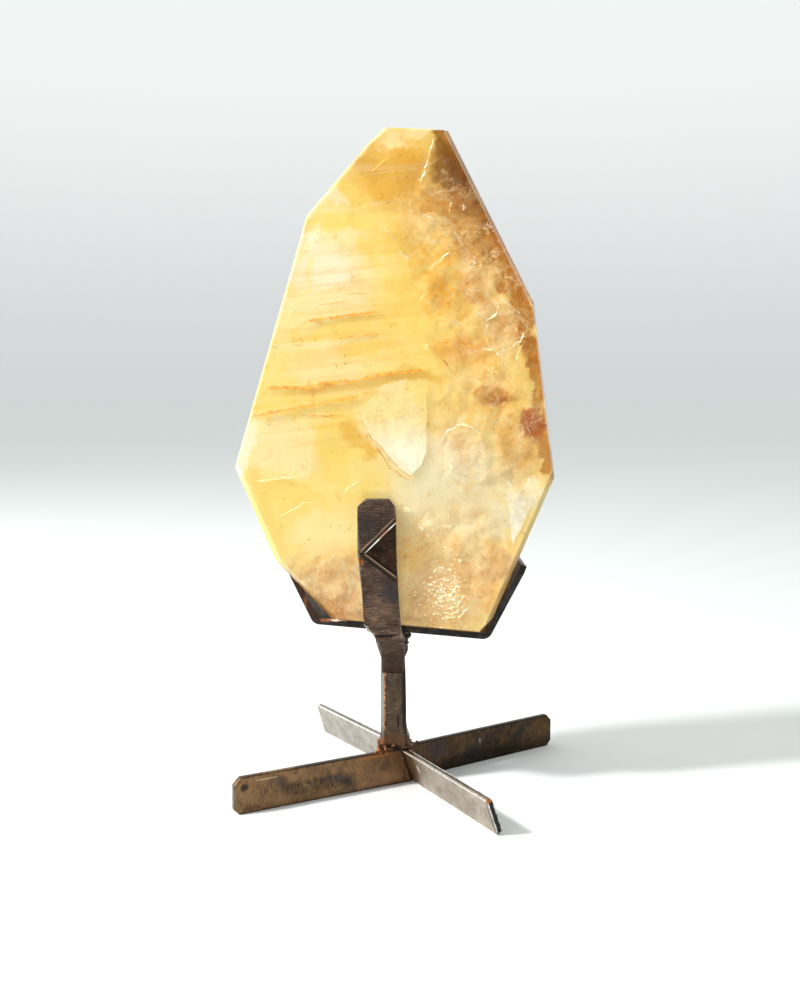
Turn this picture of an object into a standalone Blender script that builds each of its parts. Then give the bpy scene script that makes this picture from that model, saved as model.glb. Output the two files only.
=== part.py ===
"""Golden healer quartz: a faceted, polished slab that rests in a hand-made flat-bar stand.

The stand is a cross foot of four flat bars on edge, a square post, a bent cradle strap under the
stone, and a bent prong in front of the stone and one behind it. The front prong carries a small
ornament of two raised bars with a thin plate between them.

Lengths are in metres and +Z is up. The origin is on the floor, on the axis of the post, and the
stone's broad front face looks towards -Y.
"""

import math

import bmesh
import bpy
from mathutils import Matrix, Vector

# Clearance between pieces that touch
GAP = 0.0003

# A corner nearer than this to a cutting plane counts as lying on it
SLICE_MERGE = 1e-6

# Flat bar that the whole stand is cut from: three quarters of an inch by one eighth
BAR_HEIGHT = 0.01905
BAR_THICKNESS = 0.0032
BAR_EDGE_ROUND = 0.0004

# Stone: outline of its widest section in the XZ plane, clockwise from the top left corner.
# Each corner is followed by the width of the bevel along the side that starts there.
STONE_THICKNESS = 0.050
STONE_BEVEL_DEPTH = 0.005
STONE_ROUGH_SIZE = 0.400
STONE_SIDES = (
    ((-0.0043, 0.3424), 0.0008),
    ((0.0274, 0.3409), 0.0026),
    ((0.0713, 0.2560), 0.0015),
    ((0.0829, 0.1675), 0.0041),
    ((0.0515, 0.0932), 0.0020),
    ((0.0452, 0.0860), 0.0015),
    ((-0.0316, 0.0930), 0.0031),
    ((-0.0607, 0.1238), 0.0036),
    ((-0.0815, 0.1727), 0.0013),
    ((-0.0436, 0.2994), 0.0021),
    ((-0.0126, 0.3348), 0.0021),
)
STONE_BOTTOM_SIDE = 5
STONE_LOWER_LEFT_SIDE = 6

# Foot bars: inner and outer end of the lower edge of the face that looks to the front, the side
# of that edge on which the bar's thickness lies, and how far the bar's top leans to the front.
FRONT_LEAN = math.radians(20.0)
BACK_LEAN = math.radians(17.0)
FOOT_BARS = {
    "foot_bar_left": {"root": (0.0092, -0.0031), "tip": (-0.0796, -0.0528), "side": -1, "lean": 0.0},
    "foot_bar_right": {"root": (0.0130, 0.0038), "tip": (0.0940, 0.0600), "side": 1, "lean": 0.0},
    "foot_bar_front": {"root": (0.0079, 0.0020), "tip": (0.0503, -0.0778), "side": 1, "lean": FRONT_LEAN},
    "foot_bar_back": {"root": (0.0096, 0.0020), "tip": (-0.0436, 0.0847), "side": -1, "lean": BACK_LEAN},
}
FOOT_CHAMFER = {
    "foot_bar_left": (0.0040, 0.0030),
    "foot_bar_right": (0.0035, 0.0030),
    "foot_bar_front": (0.0016, 0.0016),
    "foot_bar_back": (0.0012, 0.0012),
}
FOOT_ROOT_SPARE = 0.014

# Post: a square shaft that swells at its foot and under the cradle, with a stub between the bars
POST_DEPTH = 0.0130
POST_CHAMFER = 0.0021
POST_BOTTOM = 0.0195
POST_STUB_OVERLAP = 0.0020
POST_PROFILE = (
    (0.0195, -0.0080, 0.0092),
    (0.0240, -0.0075, 0.0088),
    (0.0275, -0.0069, 0.0074),
    (0.0320, -0.0068, 0.0068),
    (0.0460, -0.0068, 0.0067),
    (0.0600, -0.0068, 0.0064),
    (0.0690, -0.0067, 0.0060),
    (0.0732, -0.0081, 0.0077),
    (0.0780, -0.0096, 0.0077),
    (0.0900, -0.0100, 0.0084),
)

# Cradle strap: one and a half inches wide, an eighth thick, bent up at both sides
STRAP_WIDTH = 0.0381
STRAP_INNER_RADIUS = 0.0020
STRAP_CORNER_CHAMFER = 0.0028
STRAP_LEFT_CORNER_X = -0.0397
STRAP_RIGHT_CORNER_X = 0.0479
STRAP_LEFT_TIP_OUTER = (-0.0554, 0.1189)
STRAP_RIGHT_TIP_OUTER = (0.0696, 0.1202)

# Prongs: bent flat bars that hold the stone's two broad faces
PRONG_BEND_RADIUS = 0.0030
PRONG_BEND_HEIGHT = 0.0860
PRONG_FOOT_HEIGHT = 0.0655
PRONG_FOOT_SPARE = 0.0040
PRONG_OUTLINE = (
    (0.0600, -0.0062, 0.0054),
    (0.0700, -0.0064, 0.0056),
    (0.0790, -0.0068, 0.0060),
    (0.0840, -0.0078, 0.0056),
    (0.0895, -0.0124, 0.0042),
    (0.0950, -0.0155, 0.0036),
    (0.1033, -0.0158, 0.0028),
    (0.1101, -0.0163, 0.0024),
    (0.1189, -0.0173, 0.0020),
    (0.1299, -0.0184, 0.0016),
    (0.1527, -0.0184, 0.0011),
    (0.1569, -0.0141, -0.0022),
)

# Ornament on the front prong: two square bars that meet in a point, and a plate between them
ORNAMENT_POINT = (-0.0162, 0.1293)
ORNAMENT_UPPER_END = (0.0013, 0.1466)
ORNAMENT_LOWER_END = (0.0016, 0.1160)
ORNAMENT_BAR = 0.0028
ORNAMENT_POINT_REACH = 0.0008
ORNAMENT_PLATE_THICKNESS = 0.0014
ORNAMENT_RIGHT_EDGE = 0.0014
ORNAMENT_SPARE = 0.0100

QUARTZ_COLOR = (0.90, 0.66, 0.26, 1.0)
BRONZE_COLOR = (0.16, 0.10, 0.055, 1.0)


def clear_scene():
    for item in list(bpy.data.objects):
        bpy.data.objects.remove(item, do_unlink=True)


def make_collection(name):
    collection = bpy.data.collections.new(name)
    bpy.context.scene.collection.children.link(collection)
    return collection


def make_material(name, color, roughness, metallic):
    material = bpy.data.materials.new(name)
    material.use_nodes = True
    shader = material.node_tree.nodes["Principled BSDF"]
    shader.inputs["Base Color"].default_value = color
    shader.inputs["Roughness"].default_value = roughness
    shader.inputs["Metallic"].default_value = metallic
    return material


def make_quartz_material():
    material = make_material("polished_quartz", QUARTZ_COLOR, 0.06, 0.0)
    shader = material.node_tree.nodes["Principled BSDF"]
    shader.inputs["IOR"].default_value = 1.544
    shader.inputs["Transmission Weight"].default_value = 0.6
    return material


def make_object(name, bm, material, collection):
    """Turn a bmesh into a named object with outward faces and one material."""
    bmesh.ops.recalc_face_normals(bm, faces=bm.faces[:])
    mesh = bpy.data.meshes.new(name)
    bm.to_mesh(mesh)
    bm.free()
    item = bpy.data.objects.new(name, mesh)
    mesh.materials.append(material)
    collection.objects.link(item)
    return item


def round_edges(item, width, segments=2):
    bevel = item.modifiers.new("edge_round", "BEVEL")
    bevel.width = width
    bevel.segments = segments
    bevel.limit_method = "ANGLE"
    bevel.angle_limit = math.radians(35.0)


def box_bmesh(low, high):
    """A box between two corners."""
    low = Vector(low)
    high = Vector(high)
    bm = bmesh.new()
    bmesh.ops.create_cube(bm, size=1.0)
    bmesh.ops.scale(bm, vec=high - low, verts=bm.verts)
    bmesh.ops.translate(bm, vec=(low + high) / 2.0, verts=bm.verts)
    return bm


def cut_away(bm, point, normal, faces=None):
    """Cut off what lies beyond the plane, on the side its normal points to, and close the cut.

    With a list of faces, only that stretch of the mesh is cut.
    """
    faces = faces or bm.faces[:]
    edges = {edge for face in faces for edge in face.edges}
    verts = {vert for face in faces for vert in face.verts}
    geometry = [*verts, *edges, *faces]
    bmesh.ops.bisect_plane(
        bm, geom=geometry, dist=SLICE_MERGE, plane_co=point, plane_no=normal, clear_outer=True)
    rim = [edge for edge in bm.edges if edge.is_boundary]
    if rim:
        bmesh.ops.holes_fill(bm, edges=rim, sides=0)


def slice_level(bm, height):
    """Add an edge loop at a height, so that the outline can change there."""
    bmesh.ops.bisect_plane(
        bm, geom=bm.verts[:] + bm.edges[:] + bm.faces[:], dist=SLICE_MERGE,
        plane_co=(0, 0, height), plane_no=(0, 0, 1))


def trim_object(item, point, normal):
    """Cut an object's mesh with a plane that is given in the world's axes."""
    to_local = item.matrix_basis.inverted()
    bm = bmesh.new()
    bm.from_mesh(item.data)
    cut_away(bm, to_local @ Vector(point), to_local.to_3x3() @ Vector(normal))
    bmesh.ops.recalc_face_normals(bm, faces=bm.faces[:])
    bm.to_mesh(item.data)
    bm.free()


def read_profile(profile, height):
    """Left and right edge at a height, between the profile's listed heights."""
    if height <= profile[0][0]:
        return profile[0][1:]
    for lower, upper in zip(profile, profile[1:]):
        if height <= upper[0]:
            share = (height - lower[0]) / (upper[0] - lower[0])
            left = lower[1] + share * (upper[1] - lower[1])
            right = lower[2] + share * (upper[2] - lower[2])
            return left, right
    return profile[-1][1:]


def filleted(points, radius, segments=6):
    """A path whose inner corners are replaced by arcs of one radius."""
    points = [Vector(point) for point in points]
    path = [points[0]]
    for before, corner, after in zip(points, points[1:], points[2:]):
        inward = (before - corner).normalized()
        outward = (after - corner).normalized()
        half_angle = inward.angle(outward) / 2.0
        reach = radius / math.tan(half_angle)
        centre = corner + (inward + outward).normalized() * (radius / math.sin(half_angle))
        start = corner + inward * reach - centre
        end = corner + outward * reach - centre
        for step in range(segments + 1):
            path.append(centre + start.slerp(end, step / segments).normalized() * radius)
    path.append(points[-1])
    return path


def stone_side(index):
    """Corner, direction and outward normal of one side of the stone's outline."""
    corner = Vector((STONE_SIDES[index][0][0], 0.0, STONE_SIDES[index][0][1]))
    following = STONE_SIDES[(index + 1) % len(STONE_SIDES)][0]
    direction = (Vector((following[0], 0.0, following[1])) - corner).normalized()
    outward = Vector((-direction.z, 0.0, direction.x))
    return corner, direction, outward


def make_stone(material, collection):
    """A thick slab: one plane for each side, and one bevel plane at its front and its back."""
    half = STONE_THICKNESS / 2.0
    bm = box_bmesh((-STONE_ROUGH_SIZE, -half, 0.0), (STONE_ROUGH_SIZE, half, STONE_ROUGH_SIZE))
    bevel_start = half - STONE_BEVEL_DEPTH
    for index in range(len(STONE_SIDES)):
        corner, _, outward = stone_side(index)
        cut_away(bm, corner, outward)
    for index, (_, bevel_width) in enumerate(STONE_SIDES):
        corner, _, outward = stone_side(index)
        for facing in (-1.0, 1.0):
            slope = outward * STONE_BEVEL_DEPTH + Vector((0.0, facing * bevel_width, 0.0))
            cut_away(bm, corner + Vector((0.0, facing * bevel_start, 0.0)), slope.normalized())
    return make_object("quartz", bm, material, collection)


def foot_frame(bar):
    """Matrix of a foot bar: its root on the floor, X towards its tip, leaning to the front."""
    root = Vector((bar["root"][0], bar["root"][1], 0.0))
    along = Vector((bar["tip"][0], bar["tip"][1], 0.0)) - root
    azimuth = math.atan2(along.y, along.x)
    turn = Matrix.Rotation(azimuth, 4, "Z") @ Matrix.Rotation(bar["side"] * bar["lean"], 4, "X")
    return Matrix.Translation(root) @ turn, along.length


def foot_face(name, hidden):
    """Point and outward normal of a foot bar's front face, or of the hidden face behind it."""
    bar = FOOT_BARS[name]
    frame, _ = foot_frame(bar)
    depth = BAR_THICKNESS if hidden else 0.0
    point = frame @ Vector((0.0, bar["side"] * depth, 0.0))
    facing = bar["side"] if hidden else -bar["side"]
    return point, frame.to_3x3() @ Vector((0.0, facing, 0.0))


def make_foot_bar(name, material, collection):
    """A flat bar on edge with two cut corners at its outer end."""
    bar = FOOT_BARS[name]
    frame, length = foot_frame(bar)
    near = min(0.0, bar["side"] * BAR_THICKNESS)
    far = max(0.0, bar["side"] * BAR_THICKNESS)
    bm = box_bmesh((-FOOT_ROOT_SPARE, near, 0.0), (length, far, BAR_HEIGHT))
    top_cut, bottom_cut = FOOT_CHAMFER[name]
    cut_away(bm, (length - top_cut, 0.0, BAR_HEIGHT), (1.0, 0.0, 1.0))
    cut_away(bm, (length - bottom_cut, 0.0, 0.0), (1.0, 0.0, -1.0))
    item = make_object(name, bm, material, collection)
    item.matrix_basis = frame
    return item


def clear_of(item, point, outward):
    """Trim an object so that it stays a gap away from a neighbour's face."""
    trim_object(item, Vector(point) + Vector(outward) * GAP, -Vector(outward))


def make_foot(material, collection):
    """The front and back bars meet under the post, and the left and right bars butt on them."""
    bars = {name: make_foot_bar(name, material, collection) for name in FOOT_BARS}
    front_root = Vector(FOOT_BARS["foot_bar_front"]["root"]).to_3d()
    back_root = Vector(FOOT_BARS["foot_bar_back"]["root"]).to_3d()
    front_along = bars["foot_bar_front"].matrix_basis.to_3x3() @ Vector((1.0, 0.0, 0.0))
    back_along = bars["foot_bar_back"].matrix_basis.to_3x3() @ Vector((1.0, 0.0, 0.0))
    along = (back_along - front_along).normalized()
    seam = (front_root + back_root) / 2.0
    trim_object(bars["foot_bar_front"], seam - along * GAP / 2.0, along)
    trim_object(bars["foot_bar_back"], seam + along * GAP / 2.0, -along)
    clear_of(bars["foot_bar_left"], *foot_face("foot_bar_front", hidden=False))
    clear_of(bars["foot_bar_right"], *foot_face("foot_bar_front", hidden=True))
    clear_of(bars["foot_bar_right"], *foot_face("foot_bar_back", hidden=True))
    for item in bars.values():
        round_edges(item, BAR_EDGE_ROUND)


def strap_lower_face():
    """Point and downward normal of the cradle strap's underside."""
    corner, direction, outward = stone_side(STONE_BOTTOM_SIDE)
    return corner + outward * (GAP + BAR_THICKNESS), outward


def make_post(material, collection, cutters):
    """The shaft, with its swellings, and the stub that stands on the floor between the bars."""
    half = POST_DEPTH / 2.0
    bm = box_bmesh((-half, -half, POST_BOTTOM), (half, half, POST_PROFILE[-1][0]))
    upright = [edge for edge in bm.edges if abs(edge.verts[0].co.z - edge.verts[1].co.z) > half]
    bmesh.ops.bevel(
        bm, geom=upright, offset=POST_CHAMFER, offset_type="OFFSET", segments=1, profile=0.5,
        affect="EDGES", material=-1)
    for level, _, _ in POST_PROFILE[1:-1]:
        slice_level(bm, level)
    for vert in bm.verts:
        left, right = read_profile(POST_PROFILE, vert.co.z)
        from_side = half - abs(vert.co.x)
        vert.co.x = left + from_side if vert.co.x < 0.0 else right - from_side
    point, outward = strap_lower_face()
    cut_away(bm, point + outward * GAP, -outward)
    post = make_object("post", bm, material, collection)

    stub = box_bmesh((-half, -half, 0.0), (half, half, POST_BOTTOM + POST_STUB_OVERLAP))
    stub_item = make_object("post_stub", stub, material, cutters)
    bar_point, bar_outward = foot_face("foot_bar_left", hidden=True)
    clear_of(stub_item, bar_point, bar_outward)
    clear_of(stub_item, *foot_face("foot_bar_front", hidden=False))
    clear_of(stub_item, *foot_face("foot_bar_back", hidden=False))
    stub_item.hide_render = True
    stub_item.display_type = "WIRE"
    join = post.modifiers.new("stub", "BOOLEAN")
    join.operation = "UNION"
    join.object = stub_item
    return post


def extrude_strip(path, width_axis, width):
    """An open strip: a path of points drawn along one axis."""
    bm = bmesh.new()
    verts = [bm.verts.new(point) for point in path]
    edges = [bm.edges.new(pair) for pair in zip(verts, verts[1:])]
    grown = bmesh.ops.extrude_edge_only(bm, edges=edges)
    moved = [part for part in grown["geom"] if isinstance(part, bmesh.types.BMVert)]
    bmesh.ops.translate(bm, vec=Vector(width_axis) * width, verts=moved)
    return bm


def strap_path():
    """The strap's inner line in the XZ plane, from the left tip to the right tip."""
    corner, direction, outward = stone_side(STONE_BOTTOM_SIDE)
    bed = corner + outward * GAP
    left = bed + direction * ((STRAP_LEFT_CORNER_X - bed.x) / direction.x)
    right = bed + direction * ((STRAP_RIGHT_CORNER_X - bed.x) / direction.x)
    left_tip = inner_tip(left, STRAP_LEFT_TIP_OUTER, 1.0)
    right_tip = inner_tip(right, STRAP_RIGHT_TIP_OUTER, -1.0)
    return left_tip, left, right, right_tip


def inner_tip(corner, outer_tip, side):
    """Inner end of an arm that starts at a corner, from its outer end, a thickness away."""
    outer = Vector((outer_tip[0], 0.0, outer_tip[1]))
    span = outer - corner
    swing = math.asin(BAR_THICKNESS / span.length)
    direction = Matrix.Rotation(side * swing, 3, "Y") @ span.normalized()
    return corner + direction * (span.length * math.cos(swing))


def make_strap(material, collection):
    """A broad flat bar bent up at both sides of the stone's lower edge."""
    left_tip, left, right, right_tip = strap_path()
    path = filleted((left_tip, left, right, right_tip), STRAP_INNER_RADIUS)
    path = [point + Vector((0.0, -STRAP_WIDTH / 2.0, 0.0)) for point in path]
    bm = extrude_strip(path, (0.0, 1.0, 0.0), STRAP_WIDTH)
    bmesh.ops.recalc_face_normals(bm, faces=bm.faces[:])
    middle = min(bm.faces, key=lambda face: abs(face.calc_center_median().x))
    if middle.normal.z > 0.0:
        bmesh.ops.reverse_faces(bm, faces=bm.faces[:])
    bmesh.ops.solidify(bm, geom=bm.faces[:], thickness=-BAR_THICKNESS)
    facet, _, facet_outward = stone_side(STONE_LOWER_LEFT_SIDE)
    left_arm = [face for face in bm.faces if all(vert.co.x < left.x for vert in face.verts)]
    cut_away(bm, facet + facet_outward * GAP, -facet_outward, left_arm)
    item = make_object("cradle_strap", bm, material, collection)
    for tip, corner in ((left_tip, left), (right_tip, right)):
        along = (tip - corner).normalized()
        for facing in (-1.0, 1.0):
            edge = tip + Vector((0.0, facing * STRAP_WIDTH / 2.0, 0.0)) - along * STRAP_CORNER_CHAMFER
            trim_object(item, edge, along + Vector((0.0, facing, 0.0)))
    round_edges(item, BAR_EDGE_ROUND)


def make_prong(name, facing, material, collection):
    """A flat bar that stands against a broad face, bends under the strap and runs to the post."""
    back_y = STONE_THICKNESS / 2.0 + GAP
    post_y = POST_DEPTH / 2.0 + GAP
    inner_path = (
        (0.0, facing * (post_y - PRONG_FOOT_SPARE), PRONG_FOOT_HEIGHT - PRONG_FOOT_SPARE),
        (0.0, facing * back_y, PRONG_BEND_HEIGHT),
        (0.0, facing * back_y, PRONG_OUTLINE[-1][0]),
    )
    path = filleted(inner_path, PRONG_BEND_RADIUS)
    bm = extrude_strip(path, (1.0, 0.0, 0.0), BAR_HEIGHT)
    for level, _, _ in PRONG_OUTLINE[1:-1]:
        slice_level(bm, level)
    for vert in bm.verts:
        left, right = read_profile(PRONG_OUTLINE, vert.co.z)
        vert.co.x = left if vert.co.x < BAR_HEIGHT / 2.0 else right
    bmesh.ops.recalc_face_normals(bm, faces=bm.faces[:])
    top = max(bm.faces, key=lambda face: face.calc_center_median().z)
    if top.normal.y * facing < 0.0:
        bmesh.ops.reverse_faces(bm, faces=bm.faces[:])
    bmesh.ops.solidify(bm, geom=bm.faces[:], thickness=-BAR_THICKNESS)
    cut_away(bm, (0.0, facing * post_y, 0.0), (0.0, -facing, 0.0))
    item = make_object(name, bm, material, collection)
    round_edges(item, BAR_EDGE_ROUND)
    return item


def make_ornament_bar(name, end, above, face_y, material, collection):
    """A small square bar from the ornament's point to the prong's right edge."""
    start = Vector((ORNAMENT_POINT[0], 0.0, ORNAMENT_POINT[1]))
    along = Vector((end[0], 0.0, end[1])) - start
    slope = math.atan2(along.z, along.x)
    half = ORNAMENT_BAR / 2.0
    bm = box_bmesh(
        (-ORNAMENT_SPARE, -ORNAMENT_BAR, -half), (along.length + ORNAMENT_SPARE, 0.0, half))
    bmesh.ops.rotate(bm, cent=(0, 0, 0), matrix=Matrix.Rotation(-slope, 3, "Y"), verts=bm.verts)
    bmesh.ops.translate(bm, vec=start + Vector((0.0, face_y, 0.0)), verts=bm.verts)
    cut_away(bm, (ORNAMENT_RIGHT_EDGE, 0.0, 0.0), (1.0, 0.0, 0.0))
    cut_away(bm, (ORNAMENT_POINT[0] - ORNAMENT_POINT_REACH, 0.0, 0.0), (-1.0, 0.0, 0.0))
    middle = (0.0, 0.0, ORNAMENT_POINT[1] + above * GAP / 2.0)
    cut_away(bm, middle, (0.0, 0.0, -above))
    item = make_object(name, bm, material, collection)
    round_edges(item, BAR_EDGE_ROUND / 2.0, segments=1)
    return item


def make_ornament_plate(face_y, material, collection):
    """The thin plate that fills the angle between the two small bars."""
    start = Vector((ORNAMENT_POINT[0], 0.0, ORNAMENT_POINT[1]))
    bm = box_bmesh(
        (ORNAMENT_POINT[0], face_y - ORNAMENT_PLATE_THICKNESS, ORNAMENT_LOWER_END[1] - ORNAMENT_SPARE),
        (ORNAMENT_RIGHT_EDGE, face_y, ORNAMENT_UPPER_END[1] + ORNAMENT_SPARE))
    for end, above in ((ORNAMENT_UPPER_END, 1.0), (ORNAMENT_LOWER_END, -1.0)):
        along = (Vector((end[0], 0.0, end[1])) - start).normalized()
        outward = Vector((-along.z, 0.0, along.x)) * above
        cut_away(bm, start - outward * (ORNAMENT_BAR / 2.0 + GAP), outward)
    return make_object("ornament_plate", bm, material, collection)


def build():
    clear_scene()
    parts = make_collection("golden_healer_quartz")
    cutters = make_collection("cutters")
    quartz = make_quartz_material()
    bronze = make_material("bronzed_bar", BRONZE_COLOR, 0.42, 1.0)

    make_stone(quartz, parts)
    make_foot(bronze, parts)
    make_post(bronze, parts, cutters)
    make_strap(bronze, parts)
    make_prong("prong_front", -1.0, bronze, parts)
    make_prong("prong_back", 1.0, bronze, parts)

    face_y = -(STONE_THICKNESS / 2.0 + BAR_THICKNESS + 2.0 * GAP)
    make_ornament_bar("ornament_bar_upper", ORNAMENT_UPPER_END, 1.0, face_y, bronze, parts)
    make_ornament_bar("ornament_bar_lower", ORNAMENT_LOWER_END, -1.0, face_y, bronze, parts)
    make_ornament_plate(face_y, bronze, parts)


build()
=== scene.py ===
# %% [markdown]
# Golden healer quartz on a flat-bar stand.
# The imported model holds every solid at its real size. This script leaves those solids where they
# are and gives them their looks: the clear and cloudy stone, the bronzed bars and the weld metal.

# %% Load the frame
import math
import random

import bmesh
import bpy
import numpy as np
from mathutils import Matrix, Vector, noise


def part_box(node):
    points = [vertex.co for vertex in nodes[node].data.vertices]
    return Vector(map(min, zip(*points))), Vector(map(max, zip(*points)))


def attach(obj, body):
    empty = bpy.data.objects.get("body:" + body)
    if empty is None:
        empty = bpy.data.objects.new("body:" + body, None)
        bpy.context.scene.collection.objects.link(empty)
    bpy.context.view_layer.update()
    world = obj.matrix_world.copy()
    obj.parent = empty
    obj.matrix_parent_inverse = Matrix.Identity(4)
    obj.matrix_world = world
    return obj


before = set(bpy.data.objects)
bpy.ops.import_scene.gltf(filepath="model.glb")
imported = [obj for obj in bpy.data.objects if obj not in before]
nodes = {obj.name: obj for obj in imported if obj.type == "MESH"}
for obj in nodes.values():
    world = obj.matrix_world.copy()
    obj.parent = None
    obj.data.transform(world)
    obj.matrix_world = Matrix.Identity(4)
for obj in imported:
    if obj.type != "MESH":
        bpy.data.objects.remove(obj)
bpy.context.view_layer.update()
MM = 0.001
ORIGIN = (0.0, 0.0, 0.0)
CENTRED = (0.5, 0.5, 0.5)
# vector noise would start from the clock, so it gets a seed and every run is the same
NOISE_SEED = 7
noise.seed_set(NOISE_SEED)
print("nodes:", sorted(nodes))

# %% [markdown]
# The camera stands where the photograph was taken from: level with the middle of the stone and
# tipped down a little, so that the foot spreads below. A lens of 39.6 mm on a 36 mm sensor is 1100
# pixels of focal length on the 1000 pixel side of the picture.

# %% Camera
CAMERA_PLACE = (0.0034, -0.585, 0.210)
CAMERA_PITCH = math.radians(5.5)
CAMERA_LENS = 39.6
CAMERA_SENSOR = 36.0


def make_camera():
    camera = bpy.data.objects.new("camera", bpy.data.cameras.new("camera"))
    bpy.context.scene.collection.objects.link(camera)
    camera.location = CAMERA_PLACE
    camera.rotation_euler = (math.pi / 2 - CAMERA_PITCH, 0.0, 0.0)
    camera.data.lens = CAMERA_LENS
    camera.data.sensor_width = CAMERA_SENSOR
    camera.data.clip_start = 0.01
    bpy.context.scene.camera = camera


make_camera()
bpy.context.scene.view_settings.view_transform = "Standard"
print("camera in mm:", [round(value / MM) for value in CAMERA_PLACE])

# %% [markdown]
# Shader nodes are added by name many times below, so small helpers come first. They take numbers,
# colours or sockets alike: a socket is linked and anything else is set.

# %% Node helpers


def feed(tree, socket, value):
    """Link a socket when the value is a socket too, and set it otherwise."""
    if isinstance(value, bpy.types.NodeSocket):
        tree.links.new(value, socket)
    else:
        socket.default_value = value


def add_node(tree, kind, inputs=None, **settings):
    node = tree.nodes.new("ShaderNode" + kind)
    for name, value in settings.items():
        setattr(node, name, value)
    for key, value in (inputs or {}).items():
        feed(tree, node.inputs[key], value)
    return node


def calc(tree, operation, *values):
    return add_node(tree, "Math", dict(enumerate(values)), operation=operation).outputs[0]


def product(tree, result, *factors):
    for factor in factors:
        result = calc(tree, "MULTIPLY", result, factor)
    return result


def step_up(tree, value, low, high):
    """0 below low, 1 above high, and a soft rise between them."""
    inputs = {"Value": value, "From Min": low, "From Max": high}
    return add_node(tree, "MapRange", inputs, interpolation_type="SMOOTHSTEP").outputs["Result"]


def vector_calc(tree, operation, first, second=None, output="Vector"):
    node = add_node(tree, "VectorMath", {0: first}, operation=operation)
    if second is not None:
        feed(tree, node.inputs["Scale" if operation == "SCALE" else 1], second)
    return node.outputs[output]


def mix_color(tree, mask, first, second, blend="MIX"):
    inputs = {0: mask, 6: first, 7: second}
    return add_node(tree, "Mix", inputs, data_type="RGBA", blend_type=blend).outputs[2]


def noise_at(tree, vector, scale, detail=3.0, roughness=0.55, distortion=0.0, output="Fac"):
    inputs = {"Vector": vector, "Scale": scale, "Detail": detail, "Roughness": roughness,
              "Distortion": distortion}
    return add_node(tree, "TexNoise", inputs).outputs[output]


def linear(red, green, blue):
    """A colour from its three screen values of 0 to 255."""
    values = []
    for value in (red, green, blue):
        share = value / 255.0
        values.append(share / 12.92 if share <= 0.04045 else ((share + 0.055) / 1.055) ** 2.4)
    return (*values, 1.0)


def new_group(name, inputs, outputs):
    group = bpy.data.node_groups.new(name, "ShaderNodeTree")
    kinds = {"value": "NodeSocketFloat", "vector": "NodeSocketVector", "color": "NodeSocketColor"}
    for socket_name, kind, default in inputs:
        socket = group.interface.new_socket(socket_name, in_out="INPUT", socket_type=kinds[kind])
        socket.default_value = default
    for socket_name, kind in outputs:
        group.interface.new_socket(socket_name, in_out="OUTPUT", socket_type=kinds[kind])
    return group, group.nodes.new("NodeGroupInput"), group.nodes.new("NodeGroupOutput")


def place_group(tree, group, inputs):
    return add_node(tree, "Group", inputs, node_tree=group).outputs


def new_material(name):
    """A material, its node tree and the place on the object that its patterns read."""
    material = bpy.data.materials.new(name)
    material.use_nodes = True
    return material, material.node_tree, add_node(material.node_tree, "TexCoord").outputs["Object"]


def set_shader(tree, inputs):
    for name, value in inputs.items():
        feed(tree, tree.nodes["Principled BSDF"].inputs[name], value)


def set_bump(tree, height, strength, distance):
    bump = add_node(tree, "Bump", {"Height": height, "Strength": strength, "Distance": distance})
    set_shader(tree, {"Normal": bump.outputs["Normal"]})


print("helpers ready")

# %% [markdown]
# Coordinates that are pushed about by a slow noise and a quick one make every pattern that reads
# them look grown and not drawn.

# %% Warp group


def make_warp_group():
    """Coordinates pushed about by a slow noise and a quick one."""
    group, start, end = new_group(
        "stone_warp",
        [("Vector", "vector", ORIGIN), ("Slow Scale", "value", 45.0), ("Slow Push", "value", 0.006),
         ("Quick Scale", "value", 260.0), ("Quick Push", "value", 0.0015)],
        [("Vector", "vector")])
    result = start.outputs["Vector"]
    for scale, push, detail in (("Slow Scale", "Slow Push", 2.0), ("Quick Scale", "Quick Push", 3.0)):
        cloud = noise_at(group, start.outputs["Vector"], start.outputs[scale], detail, output="Color")
        centred = vector_calc(group, "SUBTRACT", cloud, CENTRED)
        moved = vector_calc(group, "SCALE", centred, start.outputs[push])
        result = vector_calc(group, "ADD", result, moved)
    group.links.new(result, end.inputs["Vector"])
    return group


stone_warp = make_warp_group()
print("warp group ready")

# %% [markdown]
# The stone is clear outside and cloudy inside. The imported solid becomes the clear, polished skin,
# and a second mesh a little way in, the heart, carries the clouds and colours. Between them lie
# the thin sheets of iron and the frosty flecks, so that they are seen through the polish.

# %% Stone sizes
SKIN = 2.0
SIDE_SKIN = 0.4
HEART_STEP = 1.0
HEART_SIDE_CUTS = 14
stone_low, stone_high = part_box("quartz")
FRONT_Y = stone_low.y


def stone_planes():
    """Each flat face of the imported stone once: a point on it and its outward normal."""
    planes = {}
    mesh = nodes["quartz"].data
    for polygon in mesh.polygons:
        normal = polygon.normal.copy()
        reach = normal.dot(mesh.vertices[polygon.vertices[0]].co)
        key = (round(normal.x, 2), round(normal.y, 2), round(normal.z, 2), round(reach, 3))
        planes.setdefault(key, (normal * reach, normal))
    return list(planes.values())


STONE_PLANES = stone_planes()


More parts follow.
